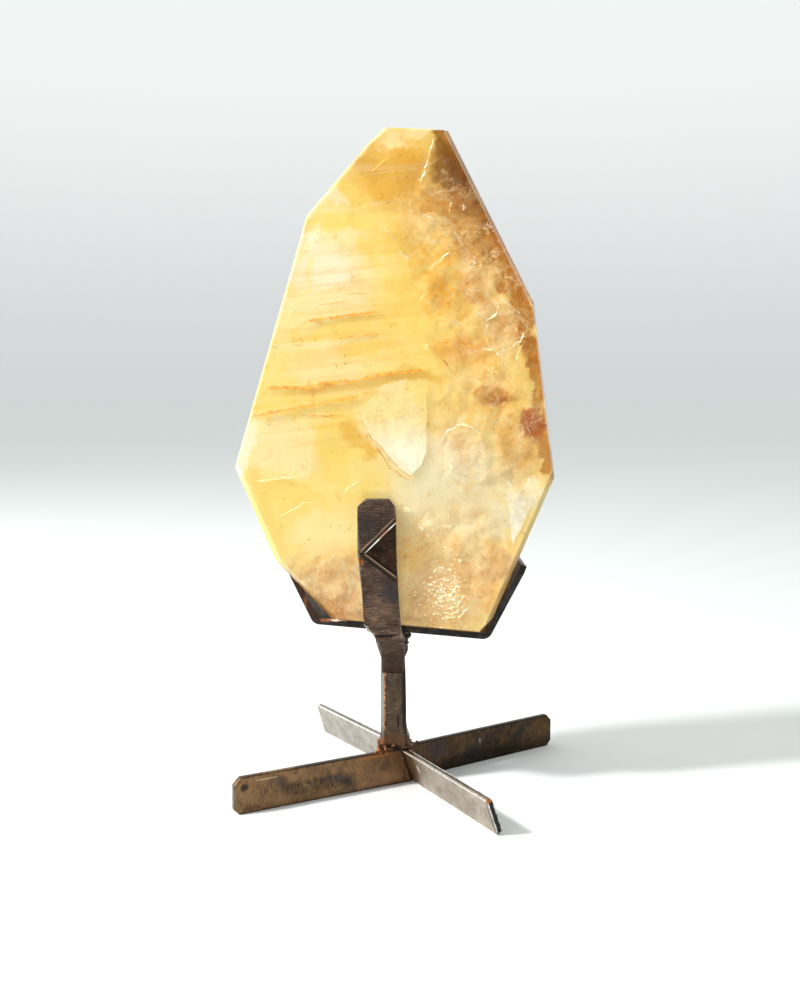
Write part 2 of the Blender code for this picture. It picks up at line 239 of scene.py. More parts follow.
def make_heart_mesh():
    """A fine grid cut to the stone's outline inside the skin, then extruded through to the back."""
    wide = max(stone_high.x - stone_low.x, stone_high.z - stone_low.z) * 0.6
    count = int(2 * wide / (HEART_STEP * MM))
    centre = Vector(((stone_low.x + stone_high.x) / 2, FRONT_Y + SKIN * MM,
                     (stone_low.z + stone_high.z) / 2))
    place = Matrix.Translation(centre) @ Matrix.Rotation(math.pi / 2, 4, "X")
    bm = bmesh.new()
    bmesh.ops.create_grid(bm, x_segments=count, y_segments=count, size=wide, matrix=place)
    for point, normal in STONE_PLANES:
        if abs(normal.y) < 0.99:
            parts = bm.verts[:] + bm.edges[:] + bm.faces[:]
            bmesh.ops.bisect_plane(bm, geom=parts, dist=1e-6, plane_co=point - normal * SIDE_SKIN * MM,
                                   plane_no=normal, clear_outer=True)
    made = bmesh.ops.extrude_face_region(bm, geom=bm.faces[:])["geom"]
    moved = [part for part in made if isinstance(part, bmesh.types.BMVert)]
    bmesh.ops.translate(bm, verts=moved, vec=(0.0, -2.0 * centre.y, 0.0))
    deep = [edge for edge in bm.edges if abs(edge.verts[0].co.y - edge.verts[1].co.y) > SKIN * MM]
    bmesh.ops.subdivide_edges(bm, edges=deep, cuts=HEART_SIDE_CUTS, use_grid_fill=True)
    bmesh.ops.recalc_face_normals(bm, faces=bm.faces[:])
    print("heart:", len(bm.verts), "vertices")
    return bm


heart_bm = make_heart_mesh()

# %% [markdown]
# The stone's colours come from iron in the quartz: yellow and amber where it lies thick, cream and
# nearly white where the crystal is clean, rust along old breaks. Some of them are painted light too:
# the stone is painted paler and brighter on the left, where the key lamp's light passes through it,
# deeper amber and umber along the upper right, as painted shade away from that light, and a few
# white spots are painted glints. A small palette holds these colours as they look on a screen, and
# the zones below are painted from it, from the back to the front. Each zone says what it is, where
# its middle is across and up in millimetres, its reach across and up, its turn in degrees, how soft
# its outline is, how strong it is, and its colour.

# %% Stone palette and zones
MILK = (255, 252, 238)
CREAM = (253, 241, 194)
STRAW = (253, 234, 156)
HONEY = (252, 226, 124)
GOLD = (235, 186, 66)
ORANGE = (232, 150, 44)
AMBER = (178, 112, 4)
UMBER = (146, 96, 10)
SIENNA = (124, 68, 4)
RUST = (168, 70, 0)
PEACH = (229, 201, 158)
ROSE = (198, 142, 68)
SMOKE = (240, 238, 218)
STONE_BASE = STRAW
STONE_ZONES = (
    # name, x, z, reach x, reach z, turn, softness, strength, colour
    ("pale upper left", -32, 262, 30, 40, 0, 0.5, 0.8, CREAM),
    ("golden crown", 1, 320, 24, 19, 0, 0.5, 0.85, GOLD),
    ("deeper gold under the tip", 9, 320, 8, 11, 10, 0.5, 0.25, AMBER),
    ("gold along the upper left edge", -11, 324, 5, 7, 40, 0.5, 0.25, AMBER),
    ("cream glow at the tip", 0, 336, 7, 4, 0, 0.4, 0.75, CREAM),
    ("cream glow beside it", 12, 339, 5, 3, 0, 0.4, 0.7, CREAM),
    ("honey shoulder", -24, 310, 12, 6, -35, 0.5, 0.6, HONEY),
    # painted highlight: a white glint on the shoulder
    ("white shoulder", -31, 306, 6, 3.5, -30, 0.4, 0.7, MILK),
    ("upper honey band", -27, 295, 22, 4.5, 0, 0.4, 0.85, HONEY),
    # painted highlight: a white glint left of the band
    ("white spot left of the band", -39, 288, 5, 7, 0, 0.5, 0.7, MILK),
    ("honey heart", -5, 286, 10, 13, 0, 0.4, 0.7, HONEY),
    ("gold right of the heart", 9, 287, 11, 12, 30, 0.4, 0.55, GOLD),
    ("clear upper window", -34, 272, 14, 13, 0, 0.5, 0.9, MILK),
    ("grey facet at the left edge", -47, 272, 3.5, 8, -17, 0.35, 0.7, SMOKE),
    ("upright straw band", -43, 263, 1.2, 19, 0, 0.3, 0.75, STRAW),
    ("cream between the iron lines", -22, 257, 17, 6, 5, 0.5, 0.8, CREAM),
    ("strong honey band", -24, 243, 27, 6, 7, 0.35, 0.9, HONEY),
    ("pale centre", -2, 247, 13, 18, 0, 0.5, 0.4, STRAW),
    ("honey stripe", -13, 233, 17, 3, 5, 0.4, 0.8, HONEY),
    ("cream lens", -32, 222, 16, 5, 7, 0.4, 0.85, CREAM),
    ("gold along the first iron line", -22, 214, 28, 3, 7, 0.4, 0.45, GOLD),
    ("honey between the iron lines", -47, 207, 25, 5, 6, 0.3, 0.9, HONEY),
    ("orange under the first line", -38, 213, 8, 2, 6, 0.4, 0.4, ORANGE),
    ("gold end of the first line", 8, 219, 17, 3.5, 6, 0.4, 0.8, GOLD),
    ("orange middle of the right", 14, 226, 16, 8, 15, 0.5, 0.5, HONEY),
    ("cream rectangle", -57, 182, 17, 15, 3, 0.12, 0.85, CREAM),
    ("white left corner", -77, 180, 6, 17, -17, 0.3, 0.9, MILK),
    ("honey block", -27, 185, 14, 18, 0, 0.2, 0.85, HONEY),
    ("gold left of the teardrop", -16, 186, 5, 12, 35, 0.3, 0.8, GOLD),
    ("amber drop", -11, 178, 2.5, 4, 0, 0.5, 0.7, GOLD),
    ("teardrop window", 2, 192, 15, 26, 30, 0.08, 0.9, CREAM),
    ("white inside of the teardrop", 5, 184, 9, 13, 25, 0.35, 0.9, MILK),
    ("honey at the lower left", -53, 150, 23, 17, -20, 0.3, 0.8, HONEY),
    ("cream below it", -37, 140, 15, 9, -15, 0.4, 0.65, CREAM),
    ("honey at the left edge", -62, 133, 8, 7, 0, 0.4, 0.7, HONEY),
    ("honey stripe left of the prong", -16, 161, 12, 5, 15, 0.4, 0.75, HONEY),
    ("peach foot", -25, 110, 27, 16, 0, 0.4, 0.8, PEACH),
    ("rose patch", -32, 119, 8, 4, 10, 0.6, 0.4, ROSE),
    ("rose edge", -25, 99, 14, 6, 0, 0.4, 0.6, ROSE),
    ("milky lower right", 31, 156, 33, 32, 0, 0.4, 0.9, CREAM),
    ("straw beside it", 50, 182, 5, 28, 0, 0.2, 0.6, STRAW),
    ("icy lower right", 34, 160, 30, 26, 0, 0.5, 0.7, SMOKE),
    ("milk core", 29, 180, 13, 13, 0, 0.4, 0.75, MILK),
    ("peach right of the prong", 19, 106, 12, 18, 0, 0.3, 0.85, PEACH),
    ("rose stripe", 10, 100, 4, 6, 0, 0.3, 0.7, ROSE),
    ("olive dot", 11, 132, 4, 3, 0, 0.3, 0.7, GOLD),
    ("peach under the milk", 36, 110, 16, 20, 0, 0.4, 0.7, PEACH),
    ("peach lobe at the edge", 54, 123, 10, 7, 0, 0.14, 0.9, PEACH),
    ("clear shard", 65, 154, 6, 15, -28, 0.12, 0.95, SMOKE),
    ("clear lobe beside it", 54, 143, 7, 10, 0, 0.2, 0.85, SMOKE),
    ("brown bubbles", 64, 182, 9, 13, 20, 0.5, 0.45, ROSE),
    ("honey middle", 19, 257, 24, 23, 0, 0.5, 0.8, HONEY),
    ("gold fold", 24, 261, 5, 10, 27, 0.4, 0.6, GOLD),
    ("straw lobe", 43, 251, 9, 8, 0, 0.35, 0.7, STRAW),
    ("orange shard", 35, 234, 14, 7, -15, 0.4, 0.55, ORANGE),
    # the rind down the upper right: the iron's colour, painted deeper as shade away from the key lamp
    ("olive rind", 41, 324, 23, 31, 12, 0.07, 1.0, UMBER),
    ("grey tip", 27, 335, 6, 4, -20, 0.4, 0.6, ROSE),
    ("dark strip", 34, 311, 3.5, 16, 27, 0.4, 0.85, SIENNA),
    ("rose lobe one", 22, 302, 9, 10, 27, 0.35, 0.7, ROSE),
    ("rose lobe two", 32, 305, 6, 8, 10, 0.2, 0.8, ROSE),
    ("rose lobe three", 38, 290, 9, 14, 27, 0.2, 0.9, ROSE),
    ("umber rind", 50, 290, 7, 14, 27, 0.25, 0.95, UMBER),
    ("amber rind", 57, 276, 7, 21, 27, 0.2, 1.0, AMBER),
    ("amber rind below", 63, 261, 6, 18, 27, 0.2, 1.0, AMBER),
    ("peach veil", 44, 275, 8, 5, -30, 0.4, 0.6, PEACH),
    ("peach folds", 45, 263, 8, 12, 30, 0.3, 0.85, PEACH),
    ("amber beside the folds", 57, 279, 5, 17, 27, 0.3, 0.85, AMBER),
    ("cream lobe", 19, 292, 7, 5, 35, 0.25, 0.75, CREAM),
    ("straw cup", 42, 243, 8, 8, 0, 0.2, 0.8, STRAW),
    ("rose cup", 54, 245, 11, 11, 0, 0.14, 0.9, PEACH),
    ("pale floor of the rose cup", 55, 235, 8, 5, 0, 0.3, 0.7, CREAM),
    # the amber right edge: iron colour, and painted shade away from the key lamp
    ("amber right edge", 69, 240, 5.5, 19, 6, 0.25, 1.0, AMBER),
    ("amber right edge below", 72, 219, 5, 18, 5, 0.25, 0.95, AMBER),
    ("straw lens", 60, 221, 4, 8, -10, 0.4, 0.7, STRAW),
    ("pale lens", 44, 216, 14, 6, 5, 0.4, 0.6, CREAM),
    ("rust cloud", 50, 209, 10, 6, 0, 0.4, 0.8, ROSE),
    ("rust core", 53, 208, 5, 2.5, 14, 0.4, 0.6, RUST),
    ("rust corner", 73, 197, 8, 8, 20, 0.18, 1.0, RUST),
    ("amber tail", 79, 180, 5, 15, 8, 0.25, 0.9, AMBER),
    ("white crystals at the right corner", 72, 163, 6, 5, 0, 0.3, 0.85, MILK),
)
# zones with bright healed cracks, and zones with growth bands: x, z, reach x, reach z, turn
CRACKED_ZONES = ((40, 262, 26, 62, 24), (50, 195, 30, 40, 0), (28, 120, 38, 34, 0),
                 (-28, 112, 26, 20, 0))
BANDED_ZONES = ((-28, 250, 40, 52, 0), (-40, 200, 45, 18, 0), (0, 315, 20, 20, 0))

# %% [markdown]
# The zones are painted on the heart point by point. A point's place is first pushed about by noise,
# so that no zone has a neat outline. Small zones stay near the front, and large ones run through
# the stone. Two more masks say where the stone is broken and where its growth bands show.

# %% Paint the heart
ZONE_DEPTH = 18.0
ZONE_DEPTH_SHARE = 2.4
SLOW_NOISE = 0.045
SLOW_PUSH = 5.0
QUICK_NOISE = 0.14
QUICK_PUSH = 2.6
CHIP_NOISE = 0.21
CHIP_PUSH = 0.55
FINE_NOISE = 0.6
FINE_PUSH = 0.8
MARK_SOFTNESS = 0.35


def soft_egg(places, x, z, reach_x, reach_z, turn, softness):
    """1 inside an egg-shaped zone, 0 outside, with a soft edge."""
    angle = math.radians(turn)
    across, up = places[:, 0] - x, places[:, 2] - z
    along = across * math.cos(angle) + up * math.sin(angle)
    over = up * math.cos(angle) - across * math.sin(angle)
    deep = (places[:, 1] - FRONT_Y / MM) / (ZONE_DEPTH + ZONE_DEPTH_SHARE * min(reach_x, reach_z))
    reach = np.sqrt((along / reach_x) ** 2 + (over / reach_z) ** 2 + deep ** 2)
    share = np.clip((1.0 + softness - reach) / (2.0 * softness), 0.0, 1.0)
    return share * share * (3.0 - 2.0 * share)


def shaken(places):
    """The places pushed by a slow noise, a quick one, towards the middles of chips, and a fine one."""
    moved = places.copy()
    for index, place in enumerate(places):
        point = Vector(place)
        push = noise.noise_vector(point * SLOW_NOISE) * SLOW_PUSH
        push = push + noise.noise_vector(point * QUICK_NOISE) * QUICK_PUSH
        chip = noise.voronoi((point + push) * CHIP_NOISE)[1][0] / CHIP_NOISE - point - push
        moved[index] += push + chip * CHIP_PUSH + noise.noise_vector(point * FINE_NOISE) * FINE_PUSH
    return moved


def paint_heart(places):
    colors = np.tile(np.array(linear(*STONE_BASE)), (len(places), 1))
    for _, *egg, strength, tone in STONE_ZONES:
        mask = soft_egg(places, *egg) * strength
        colors += mask[:, None] * (np.array(linear(*tone)) - colors)
    return colors


def join_zones(places, zones):
    mask = np.zeros(len(places))
    for zone in zones:
        mask = np.maximum(mask, soft_egg(places, *zone, MARK_SOFTNESS))
    return mask


heart_places = np.array([vert.co[:] for vert in heart_bm.verts]) / MM
moved_places = shaken(heart_places)
heart_colors = paint_heart(moved_places)
heart_broken = join_zones(moved_places, CRACKED_ZONES)
heart_banded = join_zones(moved_places, BANDED_ZONES)
print("painted", len(STONE_ZONES), "zones")

# %% [markdown]
# The heart isn't flat. Quartz breaks in shells, so the broken parts are raised in domes with
# creases between them, and the quiet parts roll gently. The light that rakes over this relief is
# what gives the inside of the stone its folds.

# %% Relief of the heart
ROLL = 0.5
ROLL_SCALE = 55.0
DOME = 1.5
DOME_SCALE = 105.0
DOME_MIDDLE = 0.45
GRAIN = 0.22
GRAIN_SCALE = 620.0
QUIET_GRAIN = 0.4
MOST_RELIEF = SKIN - 0.6


def shape_heart():
    for vert, broken in zip(heart_bm.verts, heart_broken):
        side = vert.co.y / abs(FRONT_Y + SKIN * MM)
        roll = noise.noise(vert.co * ROLL_SCALE) * ROLL
        dome = (DOME_MIDDLE - noise.voronoi(vert.co * DOME_SCALE)[0][0]) * DOME * broken
        grain = noise.noise(vert.co * GRAIN_SCALE) * GRAIN * (QUIET_GRAIN + broken)
        vert.co.y += side * min(roll + dome + grain, MOST_RELIEF) * MM


shape_heart()
print("front of the heart in mm:", round(min(vert.co.y for vert in heart_bm.verts) / MM, 2))

# %% [markdown]
# Two patterns are finer than any mesh, so they are shader node groups: bright healed cracks
# between lobes, and streaks along the stone's growth bands.

# %% Crackle and band groups


def make_crackle_group():
    """Wispy bright lines, where a healed crack meets the eye, and a soft tone on either side."""
    group, start, end = new_group(
        "healed_cracks",
        [("Vector", "vector", ORIGIN), ("Scale", "value", 60.0), ("Width", "value", 0.02)],
        [("Line", "value"), ("Tone", "value")])
    place, scale = start.outputs["Vector"], start.outputs["Scale"]
    fold = noise_at(group, place, scale, 2.0, 0.5, 0.3)
    away = calc(group, "ABSOLUTE", calc(group, "SUBTRACT", fold, 0.5))
    line = calc(group, "SUBTRACT", 1.0, step_up(group, away, 0.0, start.outputs["Width"]))
    broken = step_up(group, noise_at(group, place, 85.0, 3.0, 0.6), 0.46, 0.60)
    group.links.new(product(group, line, broken), end.inputs["Line"])
    group.links.new(step_up(group, fold, 0.40, 0.60), end.inputs["Tone"])
    return group


def make_band_group():
    """Growth bands: streaks that run across the stone and rise a little to the right."""
    group, start, end = new_group(
        "growth_bands",
        [("Vector", "vector", ORIGIN), ("Rise", "value", math.radians(7.0)),
         ("Stretch", "vector", (11.0, 25.0, 230.0))],
        [("Band", "value")])
    value = start.outputs
    level = add_node(group, "VectorRotate", {"Vector": value["Vector"], "Angle": value["Rise"]},
                     rotation_type="Y_AXIS").outputs["Vector"]
    stretched = vector_calc(group, "MULTIPLY", level, value["Stretch"])
    group.links.new(noise_at(group, stretched, 1.0, 4.0, 0.6, 0.3), end.inputs["Band"])
    return group


healed_cracks = make_crackle_group()
growth_bands = make_band_group()
print("stone groups ready")

# %% [markdown]
# The heart's material starts from the painted colours and adds what is finer than the mesh: growth
# bands in the quiet parts, healed cracks with a tone for each lobe in the broken parts, and a
# cloudiness all over. It lets about half of the light through, so that the stone glows.

# %% Heart material
HEART_INDEX = 1.1
HEART_CLEARNESS = 0.45
CRACK_SCALES = (
    # scale, line width, line strength, contrast between lobes
    (48.0, 0.013, 0.80, 0.40),
    (170.0, 0.03, 0.50, 0.30),
    (430.0, 0.05, 0.35, 0.25),
)


def add_bands(tree, place, banded, colour):
    band = place_group(tree, growth_bands, {"Vector": place})["Band"]
    for high, strength, tone in ((0.62, 0.28, (244, 186, 62)), (0.36, 0.25, (255, 248, 222))):
        share = product(tree, step_up(tree, band, 0.50, high), banded, strength)
        colour = mix_color(tree, share, colour, linear(*tone))
    return colour


def add_cracks(tree, place, broken, colour):
    """Lobes that are warmer on one side and paler on the other, and bright lines between them."""
    for scale, width, strength, contrast in CRACK_SCALES:
        crack = place_group(tree, healed_cracks, {"Vector": place, "Scale": scale, "Width": width})
        tone = crack["Tone"]
        # the warmer side of each lobe is painted shade and the paler side painted light, as on a shell-shaped
        # break lit from one side
        warm = product(tree, calc(tree, "SUBTRACT", 1.0, tone), product(tree, broken, contrast))
        pale = product(tree, tone, product(tree, broken, contrast * 0.45))
        warmer = mix_color(tree, 1.0, colour, linear(244, 206, 134), "MULTIPLY")
        colour = mix_color(tree, warm, colour, warmer)
        paler = mix_color(tree, 0.5, colour, linear(255, 232, 170))
        colour = mix_color(tree, pale, colour, paler)
        line = product(tree, crack["Line"], broken, strength)
        colour = mix_color(tree, line, colour, linear(255, 246, 212))
    return colour


def make_heart_material():
    material, tree, place = new_material("cloudy_heart")
    zone, marks = (add_node(tree, "Attribute", attribute_name=name).outputs["Color"]
                   for name in ("zone", "marks"))
    broken, banded = add_node(tree, "SeparateColor", {"Color": marks}).outputs[:2]
    warped = place_group(tree, stone_warp, {"Vector": place})["Vector"]
    colour = add_bands(tree, place, banded, zone)
    colour = add_cracks(tree, warped, broken, colour)
    mottle = noise_at(tree, warped, 130.0, 5.0, 0.68)
    blue = add_node(tree, "SeparateColor", {"Color": colour}).outputs["Blue"]
    pale = product(tree, step_up(tree, mottle, 0.46, 0.72), calc(tree, "MULTIPLY_ADD", blue, 0.8, 0.02))
    colour = mix_color(tree, pale, colour, linear(255, 246, 214))
    deep = product(tree, step_up(tree, mottle, 0.48, 0.26), 0.5)
    deeper = mix_color(tree, 1.0, colour, linear(235, 205, 140), "MULTIPLY")
    colour = mix_color(tree, deep, colour, deeper)
    rough = calc(tree, "MULTIPLY_ADD", mottle, 0.5, 0.1)
    set_shader(tree, {"Base Color": colour, "Roughness": rough, "IOR": HEART_INDEX,
                      "Transmission Weight": HEART_CLEARNESS})
    set_bump(tree, mottle, 0.35, 0.0006)
    return material


def finish_piece(name, bm, material):
    """A mesh object of the bmesh, riding on the part."""
    mesh = bpy.data.meshes.new(name)
    bm.normal_update()
    bm.to_mesh(mesh)
    bm.free()
    piece = bpy.data.objects.new(name, mesh)
    bpy.context.scene.collection.objects.link(piece)
    mesh.materials.append(material)
    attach(piece, "root")
    print(name, "has", len(mesh.polygons), "faces")
    return piece


def make_heart():
    heart = finish_piece("cloudy_heart", heart_bm, make_heart_material())
    heart.data.shade_smooth()
    rest = np.ones(len(heart_broken))
    marks = np.stack([heart_broken, heart_banded, rest, rest], axis=1)
    for name, values in (("zone", heart_colors), ("marks", marks)):
        layer = heart.data.color_attributes.new(name, "FLOAT_COLOR", "POINT")
        layer.data.foreach_set("color", values.astype(np.float32).ravel())


make_heart()

# %% [markdown]
# The skin is clear: plain transmission and the refractive index of quartz. Its roughness is that of
# a fine polish. It casts no shadow of its own, so that the lamps reach the heart.

# %% Skin material
QUARTZ_INDEX = 1.544


def make_skin_material():
    material, tree, place = new_material("clear_skin")
    smear = noise_at(tree, place, 60.0, 3.0, 0.6)
    tint = mix_color(tree, smear, linear(255, 246, 222), linear(255, 255, 250))
    rough = product(tree, step_up(tree, smear, 0.4, 0.7), 0.03)
    set_shader(tree, {"Base Color": tint, "Roughness": rough, "IOR": QUARTZ_INDEX,
                      "Transmission Weight": 1.0})
    return material


def dress(node_name, material):
    nodes[node_name].data.materials.clear()
    nodes[node_name].data.materials.append(material)


dress("quartz", make_skin_material())
nodes["quartz"].visible_shadow = False
print("the clear skin has", len(nodes["quartz"].data.polygons), "faces")

# %% [markdown]
# Iron crept in along old cracks and left thin orange sheets that the eye meets edge on, and later
# cracks healed with bright, frosty edges. Each is a line of points that is subdivided, shaken a
# little and extruded back into the stone. The slope of the sheet sets how broad it looks. Points
# are across and up in millimetres, on a plane a little behind the polished face.

# %% Sheets inside the stone
SHEET_CUTS = 5
SHAKE_SCALE = 260.0
BREADTH_SCALE = 420.0
LEAST_BREADTH = 0.05
END_TAPER = 7.0


def taper_at(point, ends):
    """0 at the sheet's ends and 1 away from them."""
    nearest = min((Vector((point.x, point.z)) - end).length for end in ends)
    return min(1.0, nearest / (END_TAPER * MM))


def lay_sheet(bm, points, depth, breadth, slope, shake):
    earlier = set(bm.edges)
    front = [bm.verts.new((x * MM, FRONT_Y + depth * MM, z * MM)) for x, z in points]
    ends = [Vector((front[index].co.x, front[index].co.z)) for index in (0, -1)]
    line = [bm.edges.new(pair) for pair in zip(front, front[1:])]
    bmesh.ops.subdivide_edges(bm, edges=line, cuts=SHEET_CUTS)
    line = [edge for edge in bm.edges if edge not in earlier]
    for vert in {vert for edge in line for vert in edge.verts}:
        push = noise.noise_vector(vert.co * SHAKE_SCALE) * shake * MM
        vert.co.x += push.x
        vert.co.z += push.z
    made = bmesh.ops.extrude_edge_only(bm, edges=line)["geom"]
    back = (0.0, math.cos(slope), math.sin(slope))
    for vert in (part for part in made if isinstance(part, bmesh.types.BMVert)):
        reach = breadth * (0.75 + 0.6 * noise.noise(vert.co * BREADTH_SCALE)) * taper_at(vert.co, ends)
        vert.co += Vector(back) * max(reach, LEAST_BREADTH) * MM


def make_sheet_material(name, deep, pale, scale, thin, thick, rough):
    """Broken colour: dense in places and gone in others."""
    material, tree, place = new_material(name)
    cloud = noise_at(tree, place, scale, 4.0, 0.65)
    color = mix_color(tree, step_up(tree, cloud, 0.38, 0.62), linear(*deep), linear(*pale))
    breaks = noise_at(tree, place, scale * 1.7, 3.0, 0.6)
    alpha = calc(tree, "MULTIPLY_ADD", step_up(tree, breaks, 0.38, 0.56), thick - thin, thin)
    set_shader(tree, {"Base Color": color, "Alpha": alpha, "Roughness": rough, "IOR": QUARTZ_INDEX})
    return material


IRON_LINES = (
    # depth, breadth, slope in degrees, points
    (1.0, 0.9, 62, ((-24, 267.5), (-15, 269.5))),
    (1.0, 0.9, 62, ((-26.5, 259.5), (-18, 260.2), (-9.5, 260.2))),
    (1.0, 1.1, 62, ((-38, 254.6), (-29, 255.4), (-19.5, 256.8))),
    (0.8, 1.8, 62, ((-48, 245.0), (-33, 247.4), (-18, 249.4), (-5, 251.0))),
    (0.8, 1.8, 62, ((-50.5, 234.2), (-44.5, 234.6))),
    (1.2, 0.9, 62, ((-28.5, 237.7), (-15, 239.3), (-3, 240.6))),
    (0.7, 2.6, 65, ((-67, 211.6), (-60.5, 212.2), (-46, 212.2), (-33, 214.3), (-16, 216.4), (-4.5, 219.3),
                    (3.5, 219.9), (18, 221.6))),
    (0.5, 2.2, 65, ((-73, 198.4), (-62.5, 199.8), (-50, 202), (-38, 204.3), (-25, 206.3), (-16, 209.2))),
    (1.2, 1.0, 62, ((-49, 199.8), (-38, 198.5), (-25, 199))),
    (0.8, 1.4, 65, ((22.5, 229.5), (28, 223.5), (31, 219.5))),
)
AMBER_LINES = (
    (0.7, 1.6, 65, ((-16, 196), (-10.5, 186.5), (-5, 181.6), (-1, 176), (4.5, 170.3), (9, 167.7),
                    (13, 168))),
    (0.9, 1.3, 65, ((-18, 203), (-16.5, 197), (-12, 190), (-8.5, 182.5), (-1.5, 172), (5.5, 167), (10, 166))),
    (0.6, 0.9, 60, ((0, 328.5), (-3, 326), (-6.5, 324), (-13, 318))),
    (0.6, 1.2, 60, ((-8, 336), (-6.5, 332), (-2, 331.5))),
    (1.5, 2.0, 70, ((20, 236), (32, 236.5), (44, 232))),
)
PALE_CRACKS = (
    (0.4, 1.8, 68, ((19.5, 341.5), (20, 335.5), (18, 328.5), (17, 323), (13.5, 315), (13, 309))),
    (0.4, 1.6, 68, ((-8.5, 296.5), (-3.5, 291.8), (0, 286.5), (3.5, 280.4), (8, 275), (11.5, 270.4))),
    (0.5, 1.3, 68, ((13.5, 300.7), (22.5, 294.8), (27, 288.3), (27.7, 279.4), (22.7, 276), (18.5, 273.5))),
    (0.5, 1.6, 68, ((25, 309.7), (29.3, 304.2), (28.2, 296.3), (29.8, 289.3), (33.8, 283.8), (34.1, 277.4),
                    (37.4, 272.4), (40, 268))),
    (0.3, 1.4, 68, ((21.5, 272.5), (26, 264), (29.8, 257), (32.8, 250.3))),
    (0.5, 1.1, 68, ((12.5, 264), (15.5, 260.5), (13.5, 257))),
    (0.4, 1.7, 68, ((49, 258), (52.5, 254.6), (51.5, 250), (46.5, 246), (47.8, 241), (46.5, 235.5))),
    (0.5, 1.7, 68, ((53, 258), (58.2, 254.6), (63.7, 250), (66, 243.6), (64.7, 236.7), (58.2, 232.5))),
    (0.3, 0.8, 68, ((33, 237.5), (39, 229.2))),
    (0.6, 1.5, 68, ((66, 236), (62, 228), (64, 221), (67, 214), (66.5, 206), (67, 198), (69, 190),
                    (74, 184))),
    (0.6, 1.4, 68, ((44, 233.5), (50, 232), (55, 228), (58, 221), (61, 215))),
    (0.7, 1.4, 68, ((24.2, 186), (27.7, 191.5), (33.3, 194.5), (38, 193.5), (43.4, 190.5), (46.5, 185),
                    (47.5, 175.5), (50, 170.5))),
    (0.4, 1.2, 68, ((-27, 159.9), (-20.5, 164), (-16, 166))),
    (0.6, 0.7, 68, ((-72, 165), (-60.5, 166.6), (-48, 168.4))),
    (0.6, 0.5, 68, ((-64, 144.4), (-49.5, 152.7), (-38, 155.8))),
    (0.6, 1.1, 68, ((57, 168), (59, 158), (62, 148), (60, 141))),
    (0.6, 0.8, 68, ((16.8, 213), (16.9, 200), (16.8, 190), (16.5, 180))),
    (0.4, 1.3, 60, ((19, 117), (23, 121), (30, 119), (33, 113), (30, 107), (24, 105), (20, 109))),
    (0.4, 1.3, 60, ((18, 112), (20, 104), (26, 99), (33, 101), (37, 108))),
    (0.4, 1.3, 60, ((21, 99), (26, 94), (34, 95), (39, 101))),
    (0.4, 1.2, 60, ((24, 111), (28, 115), (32, 110), (28, 104), (25, 107))),
    (0.4, 1.2, 60, ((27, 103), (31, 105), (34, 99), (29, 96), (24, 100))),
)


SHEETS = (
    # name, lines, shake, material: name, deep tone, pale tone, scale, least and most hold, roughness
    ("iron_veins", IRON_LINES, 0.5,
     ("iron_stain", (194, 116, 0), (232, 166, 26), 420.0, 0.3, 0.9, 0.6)),
    ("amber_veins", AMBER_LINES, 0.8,
     ("amber_stain", (226, 160, 40), (242, 190, 72), 420.0, 0.2, 0.85, 0.5)),
    ("pale_cracks", PALE_CRACKS, 1.3,
     ("frosty_edge", (255, 236, 178), (255, 252, 236), 520.0, 0.1, 0.85, 0.35)),
)


def make_sheets(name, lines, shake, look):
    bm = bmesh.new()
    for depth, breadth, slope, points in lines:
        lay_sheet(bm, points, depth, breadth, math.radians(slope), shake)
    finish_piece(name, bm, make_sheet_material(*look))


for sheet in SHEETS:
    make_sheets(*sheet)

# %% [markdown]
# A few breaks are flat panes: the teardrop window in the middle, the ghost of an earlier crystal
# beside it, the clear shard at the right edge, a pale block on the left and an orange flame. Each
# pane is a closed line of points that is filled, cut finer and bowed a little, just under the polish.

# %% Panes
PANE_CUTS = 5
PANE_SHAKE = 0.7
PANE_SHAKE_SCALE = 240.0
PANE_BOW = 0.3
PANES = (
    # name, depth, material: name, low tone, high tone, low and high level, least and most hold;
    # outline
    ("teardrop_pane", 0.9, ("teardrop_milk", (250, 247, 232), (250, 232, 164), 178, 206, 0.55, 0.85),
     ((-16, 199), (-14, 206), (-8, 210), (0, 212), (16.8, 212), (16.8, 182), (14.5, 174), (9, 168.5),
      (4.5, 171), (-1, 176.5), (-5, 182), (-10.5, 187), (-14.5, 193))),
    ("ghost_pane", 1.1, ("ghost_milk", (242, 236, 212), (248, 244, 226), 165, 195, 0.15, 0.5),
     ((24.2, 186), (27.7, 191.5), (33.3, 194.5), (38, 193.5), (43.4, 190.5), (46.5, 185),
      (47.5, 175.5), (50, 170.5), (46, 166), (36, 165), (27, 168))),
    ("shard_pane", 0.8, ("shard_clear", (244, 245, 238), (246, 245, 236), 130, 175, 0.45, 0.8),
     ((57, 168), (61, 164), (65.3, 159.4), (73.4, 158.3), (61.2, 133.1), (58.7, 154.7))),
    ("block_pane", 1.2, ("block_cream", (253, 243, 200), (253, 240, 190), 160, 200, 0.08, 0.32),
     ((-69, 197), (-42, 199), (-41.5, 184), (-42, 169), (-56, 166.5), (-68, 165))),
    ("flame_pane", 1.1, ("flame_orange", (226, 150, 44), (240, 184, 80), 226, 242, 0.05, 0.4),
     ((18, 240), (27, 241), (35, 238), (42, 231), (38, 227.5), (30, 230), (24, 228))),
)


